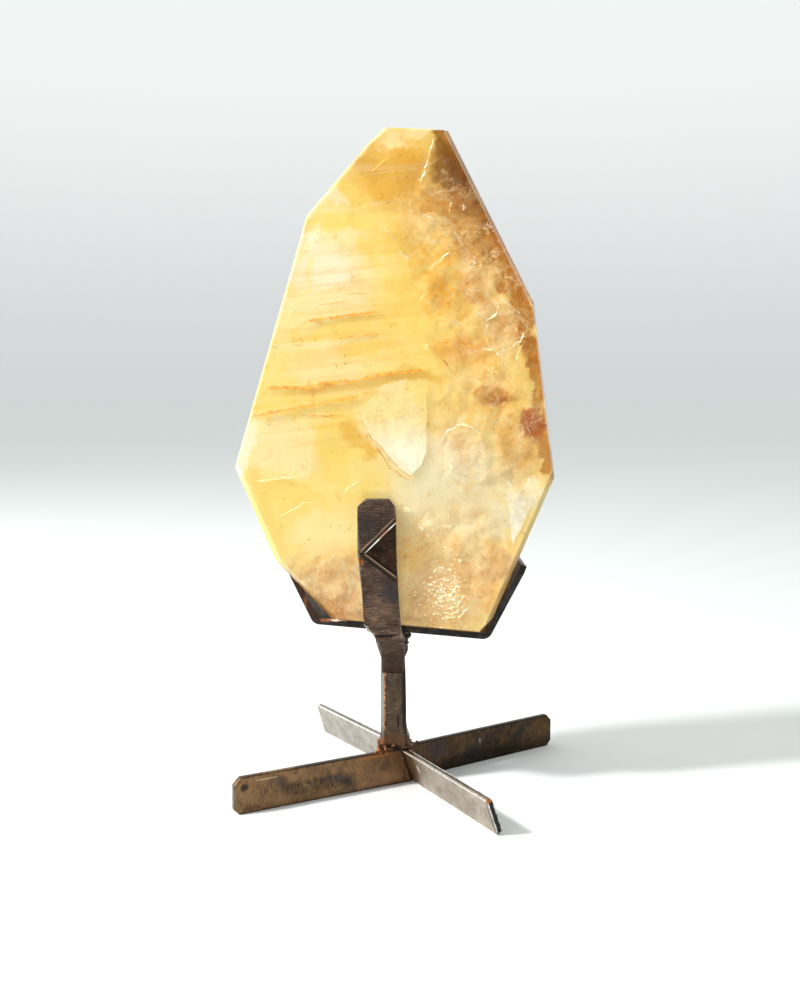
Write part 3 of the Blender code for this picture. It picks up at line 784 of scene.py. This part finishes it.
def make_pane(name, depth, look, outline):
    bm = bmesh.new()
    corners = [bm.verts.new((x * MM, FRONT_Y + depth * MM, z * MM)) for x, z in outline]
    rim = [bm.edges.new(pair) for pair in zip(corners, corners[1:] + corners[:1])]
    bmesh.ops.contextual_create(bm, geom=rim)
    bmesh.ops.triangulate(bm, faces=bm.faces[:])
    bmesh.ops.subdivide_edges(bm, edges=bm.edges[:], cuts=PANE_CUTS, use_grid_fill=True)
    for vert in bm.verts:
        push = noise.noise_vector(vert.co * PANE_SHAKE_SCALE) * PANE_SHAKE * MM
        vert.co += Vector((push.x, push.y * PANE_BOW, push.z))
    finish_piece(name, bm, make_pane_material(*look))


def make_pane_material(name, low_tone, high_tone, low_z, high_z, thin, thick):
    """A clear pane, paler below and warmer above, with a cloudy hold on the light."""
    material, tree, place = new_material(name)
    height = add_node(tree, "SeparateXYZ", {"Vector": place}).outputs["Z"]
    cloud = noise_at(tree, place, 150.0, 4.0, 0.6)
    level = calc(tree, "ADD", height, calc(tree, "MULTIPLY_ADD", cloud, 0.016, -0.008))
    share = step_up(tree, level, low_z * MM, high_z * MM)
    color = mix_color(tree, share, linear(*low_tone), linear(*high_tone))
    hold = calc(tree, "MULTIPLY_ADD", step_up(tree, cloud, 0.35, 0.6), thick - thin, thin)
    alpha = calc(tree, "MULTIPLY_ADD", share, -0.45, hold)
    set_shader(tree, {"Base Color": color, "Alpha": alpha, "Roughness": 0.4})
    return material


for pane in PANES:
    make_pane(*pane)

# %% [markdown]
# Where many small cracks meet, the stone sparkles: each fleck is a little break that throws light
# back. The flecks also glow a little of their own, a painted glow that keeps them bright however
# they are turned. A fleck is a five-sided disc, squeezed and turned at random, and about 1500 of
# them lie in clusters just under the face. The random draws start from a fixed seed, so every run is
# the same.

# %% Frost
FROST_SEED = 11
FROST_START = 0.25
FROST_DEPTH = 1.4
FROST_MARGIN = 0.2
FROST_CLUSTERS = (
    # x, z, reach x, reach z, depth, number, fleck size
    (35.3, 303.3, 2.6, 1.6, FROST_DEPTH, 26, 0.8),
    (39.7, 276.6, 3.6, 3.0, FROST_DEPTH, 44, 0.8),
    (41, 261.5, 2.6, 3.0, FROST_DEPTH, 22, 0.7),
    (16.3, 234, 3.0, 1.8, FROST_DEPTH, 24, 0.7),
    (56.6, 230.5, 3.0, 3.2, FROST_DEPTH, 26, 0.7),
    (50.3, 221.8, 2.6, 2.0, FROST_DEPTH, 30, 0.7),
    (29, 173, 2.8, 3.4, FROST_DEPTH, 44, 0.9),
    (6.7, 151, 3.0, 2.2, FROST_DEPTH, 34, 0.8),
    (15, 141.4, 3.4, 4.2, FROST_DEPTH, 50, 0.8),
    (27, 142, 3.0, 1.4, FROST_DEPTH, 20, 0.8),
    (26, 107, 11, 17, FROST_DEPTH, 520, 1.1),
    (-39.5, 288, 3.0, 3.8, FROST_DEPTH, 40, 0.7),
    (-75, 180, 5.5, 15, FROST_DEPTH, 150, 0.8),
    (-32, 104, 14, 12, FROST_DEPTH, 110, 0.6),
    (70, 194, 4.5, 4.0, FROST_DEPTH, 26, 0.6),
    (12, 221.3, 1.0, 0.8, 1.0, 6, 0.7),
    (-16.4, 209.9, 2.0, 1.0, 1.0, 12, 0.7),
    (1, 307, 2.4, 0.8, 1.0, 16, 0.6),
    (-11, 309, 0.8, 2.0, 1.0, 8, 0.8),
    (48, 293.5, 4.0, 3.4, FROST_DEPTH, 40, 0.8),
    (72, 165, 5.0, 5.0, FROST_DEPTH, 60, 0.8),
    (40, 150, 22, 18, FROST_DEPTH, 130, 0.5),
    (-55, 140, 20, 18, FROST_DEPTH, 60, 0.5),
    (45, 240, 18, 30, FROST_DEPTH, 90, 0.5),
)


def make_glowing_fleck_material():
    material, tree, place = new_material("frost_fleck")
    cloud = noise_at(tree, place, 900.0, 2.0, 0.5)
    color = mix_color(tree, cloud, linear(255, 246, 220), linear(255, 255, 255))
    # the weak emission is a painted glow: the flecks shine a little although they are no lamps
    set_shader(tree, {"Base Color": color, "Roughness": 0.5, "IOR": 1.3, "Transmission Weight": 0.3,
                      "Emission Color": linear(255, 244, 214), "Emission Strength": 0.35})
    return material


def inside_stone(place, margin):
    """Whether a place lies inside every flat face of the stone by a margin."""
    return all((place - point).dot(normal) < -margin for point, normal in STONE_PLANES)


def make_frost():
    draw = random.Random(FROST_SEED)
    bm = bmesh.new()
    for x, z, reach_x, reach_z, depth, number, size in FROST_CLUSTERS:
        for _ in range(number):
            place = Vector((x + draw.gauss(0, 0.5) * reach_x, FROST_START + draw.random() * depth,
                            z + draw.gauss(0, 0.5) * reach_z))
            place = place * MM + Vector((0.0, FRONT_Y, 0.0))
            spin = Matrix.Rotation(draw.uniform(0, math.tau), 4, "Z")
            turn = spin @ Matrix.Rotation(draw.uniform(0, math.pi), 4, "X")
            squeeze = Matrix.Diagonal((1.0, draw.uniform(0.2, 0.6), 1.0, 1.0))
            radius = size * MM * draw.uniform(0.3, 0.8)
            if inside_stone(place, FROST_MARGIN * MM):
                bmesh.ops.create_circle(bm, cap_ends=True, segments=5, radius=radius,
                                        matrix=Matrix.Translation(place) @ turn @ squeeze)
    finish_piece("frost_flecks", bm, make_glowing_fleck_material())


make_frost()

# %% [markdown]
# Every bar is the same bronzed flat bar, brushed by hand and stained by the torch. Three groups make
# its looks: the patina, the bright wear along the edges, and single patches with a ragged outline,
# such as a heat stain or a smear of soot. Some patches are painted light instead: glints and lit
# edges as painted highlights, and painted shade on sides turned from the lamp.

# %% Metal groups


def make_patina_group():
    """Brushed, clouded and pitted metal between a dark tone and a light one."""
    group, start, end = new_group(
        "bronze_patina",
        [("Vector", "vector", ORIGIN), ("Brush", "vector", (2600.0, 2600.0, 260.0)),
         ("Dark", "color", linear(62, 50, 40)), ("Light", "color", linear(138, 106, 70)),
         ("Share", "value", 0.5), ("Soot", "value", 0.5), ("Stain", "value", 0.3)],
        [("Colour", "color"), ("Marks", "value"), ("Soot", "value"), ("Height", "value")])
    place, value = start.outputs["Vector"], start.outputs
    marks = noise_at(group, vector_calc(group, "MULTIPLY", place, value["Brush"]), 1.0, 3.0, 0.6)
    cloud = noise_at(group, place, 110.0, 5.0, 0.62, 0.6)
    drift = noise_at(group, place, 42.0, 4.0, 0.6)
    level = calc(group, "MULTIPLY_ADD", marks, 0.5, product(group, cloud, 0.5))
    level = calc(group, "MULTIPLY_ADD", value["Share"], 0.5, level)
    colour = mix_color(group, step_up(group, level, 0.50, 0.95), value["Dark"], value["Light"])
    streak = product(group, step_up(group, marks, 0.55, 0.72), 0.22)
    colour = mix_color(group, streak, colour, mix_color(group, 0.5, value["Light"], linear(214, 196, 170)))
    soot = step_up(group, calc(group, "MULTIPLY_ADD", value["Soot"], 0.35, drift), 0.62, 0.86)
    stain = step_up(group, noise_at(group, place, 160.0, 4.0, 0.65, 1.0), 0.62, 0.74)
    pit = step_up(group, noise_at(group, place, 1500.0, 2.0, 0.6), 0.64, 0.72)
    for mask, share, tone in ((soot, 0.8, (36, 33, 33)), (stain, value["Stain"], (196, 116, 60)),
                              (pit, 0.7, (24, 20, 18))):
        colour = mix_color(group, product(group, mask, share), colour, linear(*tone))
    height = calc(group, "SUBTRACT", product(group, marks, 0.45), product(group, pit, 0.5))
    height = calc(group, "MULTIPLY_ADD", cloud, 0.9, height)
    for name, result in (("Colour", colour), ("Marks", marks), ("Soot", soot), ("Height", height)):
        group.links.new(result, end.inputs[name])
    return group


def make_wear_group():
    """1 where two faces of the box between Low and High meet, with a ragged border."""
    group, start, end = new_group(
        "worn_edges",
        [("Vector", "vector", ORIGIN), ("Low", "vector", ORIGIN), ("High", "vector", ORIGIN),
         ("Reach", "value", 0.0009)],
        [("Edge", "value")])
    place = start.outputs["Vector"]
    gaps = [vector_calc(group, "ABSOLUTE", vector_calc(group, "SUBTRACT", place, start.outputs[name]))
            for name in ("Low", "High")]
    sides = add_node(group, "SeparateXYZ", {"Vector": vector_calc(group, "MINIMUM", *gaps)}).outputs
    least = calc(group, "MINIMUM", calc(group, "MINIMUM", sides[0], sides[1]), sides[2])
    most = calc(group, "MAXIMUM", calc(group, "MAXIMUM", sides[0], sides[1]), sides[2])
    total = calc(group, "ADD", calc(group, "ADD", sides[0], sides[1]), sides[2])
    second = calc(group, "SUBTRACT", calc(group, "SUBTRACT", total, least), most)
    chips = calc(group, "MULTIPLY_ADD", noise_at(group, place, 520.0, 3.0, 0.7), 0.0020, -0.0010)
    away = step_up(group, calc(group, "ADD", second, chips), 0.0001, start.outputs["Reach"])
    group.links.new(calc(group, "SUBTRACT", 1.0, away), end.inputs["Edge"])
    return group


def make_patch_group():
    """1 inside an egg-shaped patch with a ragged outline; Ticks breaks it up by the brush marks."""
    group, start, end = new_group(
        "soft_patch",
        [("Vector", "vector", ORIGIN), ("Middle", "vector", ORIGIN),
         ("Reach", "vector", (1.0, 1.0, 1.0)), ("Ragged", "value", 0.6), ("Marks", "value", 0.5),
         ("Ticks", "value", 0.0)],
        [("Mask", "value")])
    place, value = start.outputs["Vector"], start.outputs
    away = vector_calc(group, "SUBTRACT", place, value["Middle"])
    away = vector_calc(group, "DIVIDE", away, value["Reach"])
    cloud = noise_at(group, place, 420.0, 3.0, 0.65, output="Color")
    push = vector_calc(group, "SUBTRACT", cloud, CENTRED)
    push = vector_calc(group, "SCALE", push, value["Ragged"])
    reach = vector_calc(group, "LENGTH", vector_calc(group, "ADD", away, push), output="Value")
    mask = calc(group, "SUBTRACT", 1.0, step_up(group, reach, 0.55, 1.1))
    tick = calc(group, "SUBTRACT", step_up(group, value["Marks"], 0.46, 0.58), 1.0)
    broken = calc(group, "MULTIPLY_ADD", tick, value["Ticks"], 1.0)
    group.links.new(product(group, mask, broken), end.inputs["Mask"])
    return group


bronze_patina = make_patina_group()
worn_edges = make_wear_group()
soft_patch = make_patch_group()
print("metal groups ready")

# %% [markdown]
# The bars lie at odd angles, so each material first turns its coordinates until X runs along its
# bar and Z up its broad face. The finishes below differ: gold and brown to the left, nearly black to
# the right, and pale silvery grey at the front and back. The torch and the brush left the stains
# and marks, but the pale grey of the front and back bars is partly painted light: the lamp's light
# and its reflection on the faces turned towards it, over bare metal. Each patch says its middle and
# its reach along X, Y and Z in millimetres, how ragged it is, how far the brush marks break it up,
# how strong it is, and its colour.

# %% Metal finishes
BAR_HEIGHT = 0.01905
BAR_THICKNESS = 0.0032
FAR = 1.0
THROUGH = 60
SOOT = (30, 28, 30)
SLATE = (50, 54, 62)
COPPER = (172, 104, 60)
SILVER = (214, 208, 196)
STEEL = (176, 176, 172)
BRONZE = {"place": ORIGIN, "turn": ORIGIN, "brush": (300.0, 300.0, 2600.0),
          "dark": (52, 41, 34), "light": (112, 86, 62), "share": 0.3, "soot": 0.5, "stain": 0.15,
          "metal": 0.9, "low": (-FAR, -FAR, -FAR), "high": (FAR, FAR, FAR), "edge": SILVER, "wear": 0.5,
          "reach": 0.0009, "patches": ()}
BRUSHED_ALONG = (2600.0, 2600.0, 260.0)
BRUSHED_ACROSS = (300.0, 2600.0, 2600.0)
BAR_LINES = {
    # root, tip, which side of that line the thickness lies on, lean in degrees
    "foot_bar_left": ((0.0092, -0.0031), (-0.0796, -0.0528), -1, 0.0),
    "foot_bar_right": ((0.0130, 0.0038), (0.0940, 0.0600), 1, 0.0),
    "foot_bar_front": ((0.0079, 0.0020), (0.0503, -0.0778), 1, 20.0),
    "foot_bar_back": ((0.0096, 0.0020), (-0.0436, 0.0847), -1, 17.0),
}
BAR_FINISHES = {
    "foot_bar_left": {
        "dark": (72, 53, 38), "light": (148, 114, 78), "share": 0.5, "soot": 0.25, "metal": 0.85,
        "edge": (58, 42, 30), "wear": 0.8, "reach": 0.0013, "patches": (
            ((58, 0, 8.5), (27, THROUGH, 4.6), 1.6, 1.0, 1.0, (20, 18, 20)),
            ((46, 0, 9.5), (9, THROUGH, 3.0), 1.4, 0.7, 0.7, SLATE),
            ((96, 0, 13.5), (2.6, THROUGH, 2.2), 0.7, 0.0, 0.85, SOOT),
            ((92, 0, 2.6), (5, THROUGH, 1.6), 1.4, 0.8, 0.85, SOOT),
            ((16, 0, 11.0), (3.6, THROUGH, 3.4), 1.2, 0.3, 0.7, SLATE),
            ((20, 0, 17.8), (12, THROUGH, 1.6), 1.6, 0.0, 0.6, COPPER),
            ((101.8, 0, 9.5), (1.3, THROUGH, 8.0), 0.5, 0.0, 0.7, STEEL),
            ((40, 0, 19.05), (70, THROUGH, 0.7), 0.5, 0.0, 0.8, (50, 36, 26)),
            ((78, 0, 18.9), (12, THROUGH, 0.5), 2.2, 0.0, 0.7, (190, 150, 96)),
            ((84, 0, 16.2), (7, THROUGH, 0.5), 1.2, 0.0, 0.6, (196, 168, 128)),
            ((10, 0, 6), (16, THROUGH, 9), 1.6, 0.5, 0.45, (122, 86, 58)),
            ((70, 0, 4), (26, THROUGH, 4), 1.6, 0.5, 0.4, (86, 64, 40)))},
    "foot_bar_right": {
        "dark": (48, 36, 28), "light": (112, 84, 56), "share": 0.35, "soot": 0.35, "stain": 0.05,
        "edge": (26, 22, 20), "wear": 0.85, "reach": 0.0013, "patches": (
            ((45, 0, 1.5), (52, THROUGH, 7.5), 1.2, 0.5, 0.9, (22, 19, 18)),
            ((88, 0, 11.5), (13, THROUGH, 6.0), 2.2, 0.4, 0.5, (118, 90, 54)),
            ((44, 0, 12.5), (1.0, THROUGH, 2.2), 3.4, 0.0, 0.5, STEEL),
            ((14, 0, 13), (8, THROUGH, 6), 1.0, 0.2, 0.5, SLATE))},
    "foot_bar_front": {
        # the pale grey tones are partly painted light: the lamp's light and reflection on this face
        "dark": (104, 92, 80), "light": (182, 170, 154), "share": 0.5, "soot": 0.0, "stain": 0.1,
        "metal": 0.45, "edge": (250, 246, 238), "wear": 0.7, "reach": 0.0008,
        "patches": (
            ((2, 0, 9), (19, THROUGH, 40), 0.4, 0.1, 1.0, (88, 58, 26)),
            ((19.0, 0, 12), (1.6, THROUGH, 2.6), 1.4, 0.0, 0.8, (255, 236, 204)),
            ((50, 0, 10), (40, THROUGH, 9), 3.0, 0.9, 0.5, (104, 84, 68)),
            ((91.4, 0, 10), (3.4, THROUGH, 24), 0.3, 0.0, 1.0, (16, 11, 7)),
            ((89, 0, 18.4), (2.0, THROUGH, 1.2), 0.8, 0.0, 0.8, COPPER),
            ((45, 2.0, 19.05), (60, 0.55, 0.9), 0.4, 0.0, 0.95, (16, 14, 13)))},
    "foot_bar_back": {
        "dark": (112, 104, 96), "light": (178, 170, 160), "share": 0.5, "soot": 0.0, "stain": 0.06,
        # the pale grey tones are partly painted light: the lamp's light and reflection on this face
        "metal": 0.45, "edge": (246, 244, 240), "wear": 0.8, "patches": (
            ((0, 0, 9), (9, THROUGH, 14), 0.6, 0.1, 0.8, (120, 96, 70)),
            ((55, -1.6, 19.05), (60, 0.5, 0.9), 0.4, 0.0, 0.8, (60, 54, 48)))},
}
ORNAMENT_POINT = (-0.0162, 0.0, 0.1293)
ORNAMENT_UPPER_RISE = math.atan2(0.0173, 0.0175)
ORNAMENT_LOWER_RISE = math.atan2(-0.0133, 0.0178)
FRAME_FINISHES = {
    "post": {
        "dark": (52, 42, 34), "light": (114, 94, 75), "share": 0.35, "soot": 0.3, "stain": 0.25,
        "low": (-0.0068, -0.0065, -FAR), "high": (0.0067, 0.0065, FAR), "edge": (30, 26, 24), "wear": 0.8,
        "patches": (
            ((-6.0, -5.4, 46), (1.1, 1.2, 24), 0.5, 0.0, 0.85, (150, 149, 142)),
            # painted shade: the right chamfer is darkened where it would show the sky's reflection
            ((5.8, -5.2, 48), (2.0, 2.6, 28), 0.5, 0.2, 0.95, (22, 23, 25)),
            ((2.4, -6.5, 34), (0.6, 3, 6), 0.8, 0.0, 0.9, SOOT),
            ((0, -6, 24), (9, 9, 4), 1.4, 0.2, 0.5, (104, 66, 40)),
            ((-7, -5, 23), (3, 6, 3), 1.6, 0.0, 0.45, COPPER))},
    "cradle_strap": {
        "dark": (16, 12, 8), "light": (50, 37, 26), "stain": 0.2, "soot": 0.4, "metal": 0.6,
        "low": (-FAR, -0.01905, -FAR), "high": (FAR, 0.01905, FAR), "wear": 0.35, "edge": (130, 126, 124),
        "patches": (
            ((-46, 0, 104), (16, THROUGH, 18), 0.8, 0.2, 0.95, (56, 30, 8)),
            # painted highlights on the front edge: a copper glint over worn metal, and a white glint
            ((-33, -19, 92.6), (6.5, 2.5, 1.5), 2.4, 0.0, 0.9, (150, 88, 50)),
            ((-29, -19, 92.6), (5.0, 2.5, 0.9), 3.4, 0.0, 0.9, (255, 240, 226)),
            ((-46, -19, 101), (1.6, 2.5, 4), 3.4, 0.0, 0.65, (134, 78, 44)),
            ((62, -19, 108), (9, 1.2, 14), 1.2, 0.3, 0.4, SLATE))},
    "prong_front": {
        "dark": (52, 39, 34), "light": (122, 98, 82), "share": 0.35, "soot": 0.4, "stain": 0.08,
        "place": (-0.0061, 0.0, 0.095), "turn": (0.0, math.radians(-3.0), 0.0),
        "low": (-0.0098, -0.0285, -FAR), "high": (0.0098, -0.0253, 0.0619), "wear": 0.45,
        "edge": (156, 146, 134), "patches": (
            ((6, -28, 12), (8, 9, 5), 1.2, 0.6, 0.6, SLATE),
            ((-7, -28, 9), (3, 9, 3), 1.2, 0.4, 0.6, SLATE),
            ((1, -28, -9), (9, 9, 1.0), 1.0, 0.0, 0.95, (18, 15, 14)),
            ((-7.5, -28, -8), (3.6, 9, 2.6), 1.2, 0.0, 0.85, (190, 190, 184)),
            ((-8.4, -28, 30), (1.1, 9, 1.8), 2.2, 0.0, 0.7, COPPER),
            ((0, -20, -24), (12, 40, 16), 1.4, 0.4, 0.45, (96, 78, 62)),
            ((-2, -28, 4), (9, 9, 9), 1.6, 0.6, 0.35, (140, 106, 82)))},
    "prong_back": {},
    "ornament_bar_upper": {
        "place": ORNAMENT_POINT, "turn": (0.0, -ORNAMENT_UPPER_RISE, 0.0), "brush": BRUSHED_ACROSS,
        "patches": (
            # painted light: a lit upper edge, and along the lower edge a worn line with a painted highlight
            ((12, -30, 0.75), (20, THROUGH, 0.22), 0.3, 0.0, 0.7, (150, 124, 100)),
            ((12, -30, -0.1), (20, THROUGH, 0.55), 0.3, 0.0, 0.9, (24, 20, 20)),
            ((13, -30, -1.15), (14, THROUGH, 0.6), 0.4, 0.0, 1.0, (255, 250, 242)),
            ((15, -30, -1.0), (4.5, THROUGH, 0.7), 1.6, 0.0, 0.8, COPPER))},
    "ornament_bar_lower": {
        "place": ORNAMENT_POINT, "turn": (0.0, -ORNAMENT_LOWER_RISE, 0.0), "brush": BRUSHED_ACROSS,
        "patches": (
            # painted light and shade: a lit upper edge and a shaded lower half
            ((12, -30, 0.9), (20, THROUGH, 0.3), 0.5, 0.0, 0.7, (176, 152, 128)),
            ((12, -30, -0.8), (20, THROUGH, 0.8), 0.3, 0.0, 0.8, (26, 22, 20)))},
    "ornament_plate": {"dark": (36, 24, 16), "light": (74, 50, 32), "soot": 0.3, "stain": 0.1, "patches": (
        ((-8, -30, 131), (6, 9, 2), 0.8, 0.0, 0.6, (20, 16, 14)),)},
}


def in_metres(triple):
    return tuple(value * MM for value in triple)


def make_bronze(name, finish):
    """Bronzed metal: the patina, then each patch over it, then the worn edges."""
    finish = {**BRONZE, **finish}
    material, tree, coordinates = new_material(name)
    place = add_node(tree, "Mapping", {"Vector": coordinates, "Location": finish["place"],
                                       "Rotation": finish["turn"]}, vector_type="TEXTURE").outputs["Vector"]
    look = place_group(tree, bronze_patina, {
        "Vector": place, "Brush": finish["brush"], "Dark": linear(*finish["dark"]),
        "Light": linear(*finish["light"]), "Share": finish["share"], "Soot": finish["soot"],
        "Stain": finish["stain"]})
    colour = look["Colour"]
    for middle, reach, ragged, ticks, strength, tone in finish["patches"]:
        mask = place_group(tree, soft_patch, {
            "Vector": place, "Middle": in_metres(middle), "Reach": in_metres(reach), "Ragged": ragged,
            "Marks": look["Marks"], "Ticks": ticks})["Mask"]
        colour = mix_color(tree, product(tree, mask, strength), colour, linear(*tone))
    edge = place_group(tree, worn_edges, {"Vector": place, "Low": finish["low"], "High": finish["high"],
                                          "Reach": finish["reach"]})["Edge"]
    colour = mix_color(tree, product(tree, edge, finish["wear"]), colour, linear(*finish["edge"]))
    rough = calc(tree, "MULTIPLY_ADD", look["Marks"], 0.16, 0.30)
    rough = calc(tree, "MULTIPLY_ADD", look["Soot"], 0.18, rough)
    metal = calc(tree, "MULTIPLY_ADD", look["Soot"], -0.25, finish["metal"])
    set_shader(tree, {"Base Color": colour, "Roughness": rough, "Metallic": metal})
    set_bump(tree, look["Height"], 0.6, 0.0004)
    return material


for bar_name, (root, tip, side, lean) in BAR_LINES.items():
    length = math.dist(root, tip)
    sides = sorted((0.0, side * BAR_THICKNESS))
    dress(bar_name, make_bronze(bar_name + "_bronze", {
        "place": (*root, 0.0), "turn": (math.radians(side * lean), 0.0,
                                        math.atan2(tip[1] - root[1], tip[0] - root[0])),
        "brush": BRUSHED_ALONG, "low": (-FAR, sides[0], 0.0), "high": (length, sides[1], BAR_HEIGHT),
        **BAR_FINISHES[bar_name]}))
for node_name, node_finish in FRAME_FINISHES.items():
    dress(node_name, make_bronze(node_name + "_bronze", node_finish))
print("dressed", len(BAR_LINES) + len(FRAME_FINISHES), "bars")

# %% [markdown]
# The bars are joined by brazing: rows of small lumps that ran together. Each weld is a chain of
# spheres along a line, and a remesh fuses them into one lumpy bead. Radii and points are in
# millimetres.

# %% Weld metal
WELD_SEED = 5
WELD_GRAIN = 0.4
WELD_STEP = 1.1
WELDS = {
    # radius, wander and points of each line
    "foot_weld": (
        (1.1, 0.25, ((-7.6, -6.6, 20.2), (9.0, -6.4, 20.2))),
        (1.0, 0.25, ((9.2, -6.0, 20.0), (9.0, 6.0, 20.0), (-7.6, 6.0, 20.0), (-7.8, -6.0, 20.2))),
        (1.0, 0.25, ((7.0, -4.6, 19.4), (0.0, -8.4, 19.4), (-9.5, -13.2, 19.0))),
        (1.1, 0.35, ((3.0, -7.0, 20.0), (-3.0, -8.2, 20.0), (-8.0, -9.6, 19.6))),
        (0.9, 0.3, ((9.6, -1.0, 19.4), (12.5, 4.5, 19.2)))),
    "joint_bead": ((0.8, 0.2, ((5.6, -4.6, 2.0), (5.2, -4.9, 10.0), (5.0, -5.0, 17.5))),),
    "post_bead": (
        (0.5, 0.25, ((-4.9, -6.6, 30.0), (-4.7, -6.6, 48.0), (-4.6, -6.6, 65.0))),
        (0.9, 0.3, ((-4.3, -6.6, 65.0), (-3.4, -6.7, 67.5)))),
    "prong_foot_weld": ((0.55, 0.12, ((-5.4, -7.1, 61.8), (4.8, -7.1, 61.6))),),
    "cradle_weld": (
        (0.8, 0.3, ((-15.0, -27.4, 92.0), (-11.6, -27.2, 88.2), (-7.8, -26.0, 84.0), (-6.9, -22.6, 79.5))),
        (0.9, 0.35, ((-9.6, -5.5, 81.0), (8.0, -5.5, 80.5), (8.2, 5.0, 80.0), (-9.6, 5.0, 81.0),
                     (-9.6, -5.5, 81.0))),
        (0.7, 0.3, ((4.4, -26.4, 87.4), (5.8, -22.8, 80.0), (7.4, -6.0, 78.0)))),
    "ornament_braze": (
        (0.5, 0.2, ((-17.2, -28.8, 126.6), (-17.0, -28.8, 123.4))),
        (0.5, 0.15, ((1.5, -27.2, 125.6), (1.6, -27.4, 124.6)))),
}
WELD_FINISHES = {
    "foot_weld": {"dark": (50, 34, 25), "light": (132, 90, 58), "share": 0.35, "stain": 0.2, "soot": 0.3,
                  "patches": (((1.8, -7.4, 19.6), (2.6, 3, 1.8), 0.8, 0.0, 0.9, SOOT),
                              ((7, -5, 20), (4, 5, 2), 1.2, 0.0, 0.6, SOOT),
                              ((-9, -11, 19.6), (4, 4, 2), 2.4, 0.0, 0.4, (208, 120, 58)))},
    "joint_bead": {"dark": (60, 44, 32), "light": (150, 110, 70), "share": 0.4, "stain": 0.4},
    "post_bead": {"dark": (92, 56, 36), "light": (222, 158, 112), "share": 0.45, "stain": 0.5, "soot": 0.2},
    "prong_foot_weld": {"dark": (30, 24, 21), "light": (90, 66, 48), "share": 0.2},
    "cradle_weld": {"dark": (54, 44, 38), "light": (150, 142, 132), "share": 0.35, "soot": 0.4, "stain": 0.25,
                    "patches": (((-11, -26, 87), (7, 9, 7), 1.0, 0.0, 0.6, (196, 192, 184)),)},
    "ornament_braze": {"dark": (90, 56, 34), "light": (214, 132, 76), "share": 0.5, "soot": 0.0},
}


def lay_weld(bm, draw, radius, wander, points):
    for start, end in zip(points, points[1:]):
        start, end = Vector(start), Vector(end)
        count = max(1, round((end - start).length / (radius * WELD_STEP)))
        for step in range(count + 1):
            place = start.lerp(end, step / count) + Vector([draw.gauss(0.0, wander) for _ in range(3)])
            bmesh.ops.create_icosphere(bm, subdivisions=2, radius=radius * draw.uniform(0.65, 1.35) * MM,
                                       matrix=Matrix.Translation(place * MM))


def make_welds():
    draw = random.Random(WELD_SEED)
    for name, lines in WELDS.items():
        bm = bmesh.new()
        for radius, wander, points in lines:
            lay_weld(bm, draw, radius, wander, points)
        weld = finish_piece(name, bm, make_bronze(name + "_metal", WELD_FINISHES[name]))
        fuse = weld.modifiers.new("fuse", "REMESH")
        fuse.mode = "VOXEL"
        fuse.voxel_size = WELD_GRAIN * MM
        fuse.use_smooth_shade = True


make_welds()

# %% [markdown]
# The studio is a plain white floor under a white sky, with a small lamp high on the left for crisp
# shadows and a broad, weak one beside the camera.

# %% Studio
FLOOR_SIZE = 60.0
SKY_WHITE = (0.93, 0.97, 0.96, 1.0)
SKY_DIM = (0.30, 0.31, 0.32, 1.0)
SKY_DIM_FROM = -0.75
SKY_DIM_TO = -0.05
SKY_STRENGTH = 0.95
HORIZON_GREY = (0.69, 0.715, 0.72, 1.0)
SKY_CLEAR = 0.30


def make_floor():
    bm = bmesh.new()
    bmesh.ops.create_grid(bm, x_segments=1, y_segments=1, size=FLOOR_SIZE / 2.0)
    mesh = bpy.data.meshes.new("floor")
    bm.to_mesh(mesh)
    bm.free()
    floor = bpy.data.objects.new("floor", mesh)
    bpy.context.scene.collection.objects.link(floor)
    material, tree, _ = new_material("floor_paint")
    set_shader(tree, {"Base Color": (0.84, 0.86, 0.85, 1.0), "Roughness": 0.8})
    mesh.materials.append(material)


def make_lamp(name, place, target, size, power):
    data = bpy.data.lights.new(name, "AREA")
    data.shape = "DISK"
    data.size = size
    data.energy = power
    lamp = bpy.data.objects.new(name, data)
    bpy.context.scene.collection.objects.link(lamp)
    lamp.location = place
    lamp.rotation_euler = (Vector(target) - Vector(place)).to_track_quat("-Z", "Y").to_euler()


def make_sky():
    """White all round, but dim behind the camera, so that the polish keeps its depth."""
    world = bpy.data.worlds.new("studio")
    world.use_nodes = True
    tree = world.node_tree
    background = tree.nodes["Background"]
    direction = add_node(tree, "TexCoord").outputs["Generated"]
    sides = add_node(tree, "SeparateXYZ", {"Vector": direction}).outputs
    share = step_up(tree, sides["Y"], SKY_DIM_FROM, SKY_DIM_TO)
    color = mix_color(tree, share, SKY_DIM, SKY_WHITE)
    height = step_up(tree, sides["Z"], 0.0, SKY_CLEAR)
    behind = mix_color(tree, height, HORIZON_GREY, SKY_WHITE)
    seen = add_node(tree, "LightPath").outputs["Is Camera Ray"]
    feed(tree, background.inputs["Color"], mix_color(tree, seen, color, behind))
    background.inputs["Strength"].default_value = SKY_STRENGTH
    bpy.context.scene.world = world


make_floor()
make_lamp("key_lamp", (-1.35, -0.45, 1.25), (0.0, 0.0, 0.12), 0.22, 42.0)
make_lamp("fill_lamp", (-1.0, -1.3, 0.7), (0.0, 0.0, 0.20), 0.9, 6.0)
make_sky()
print("studio ready")
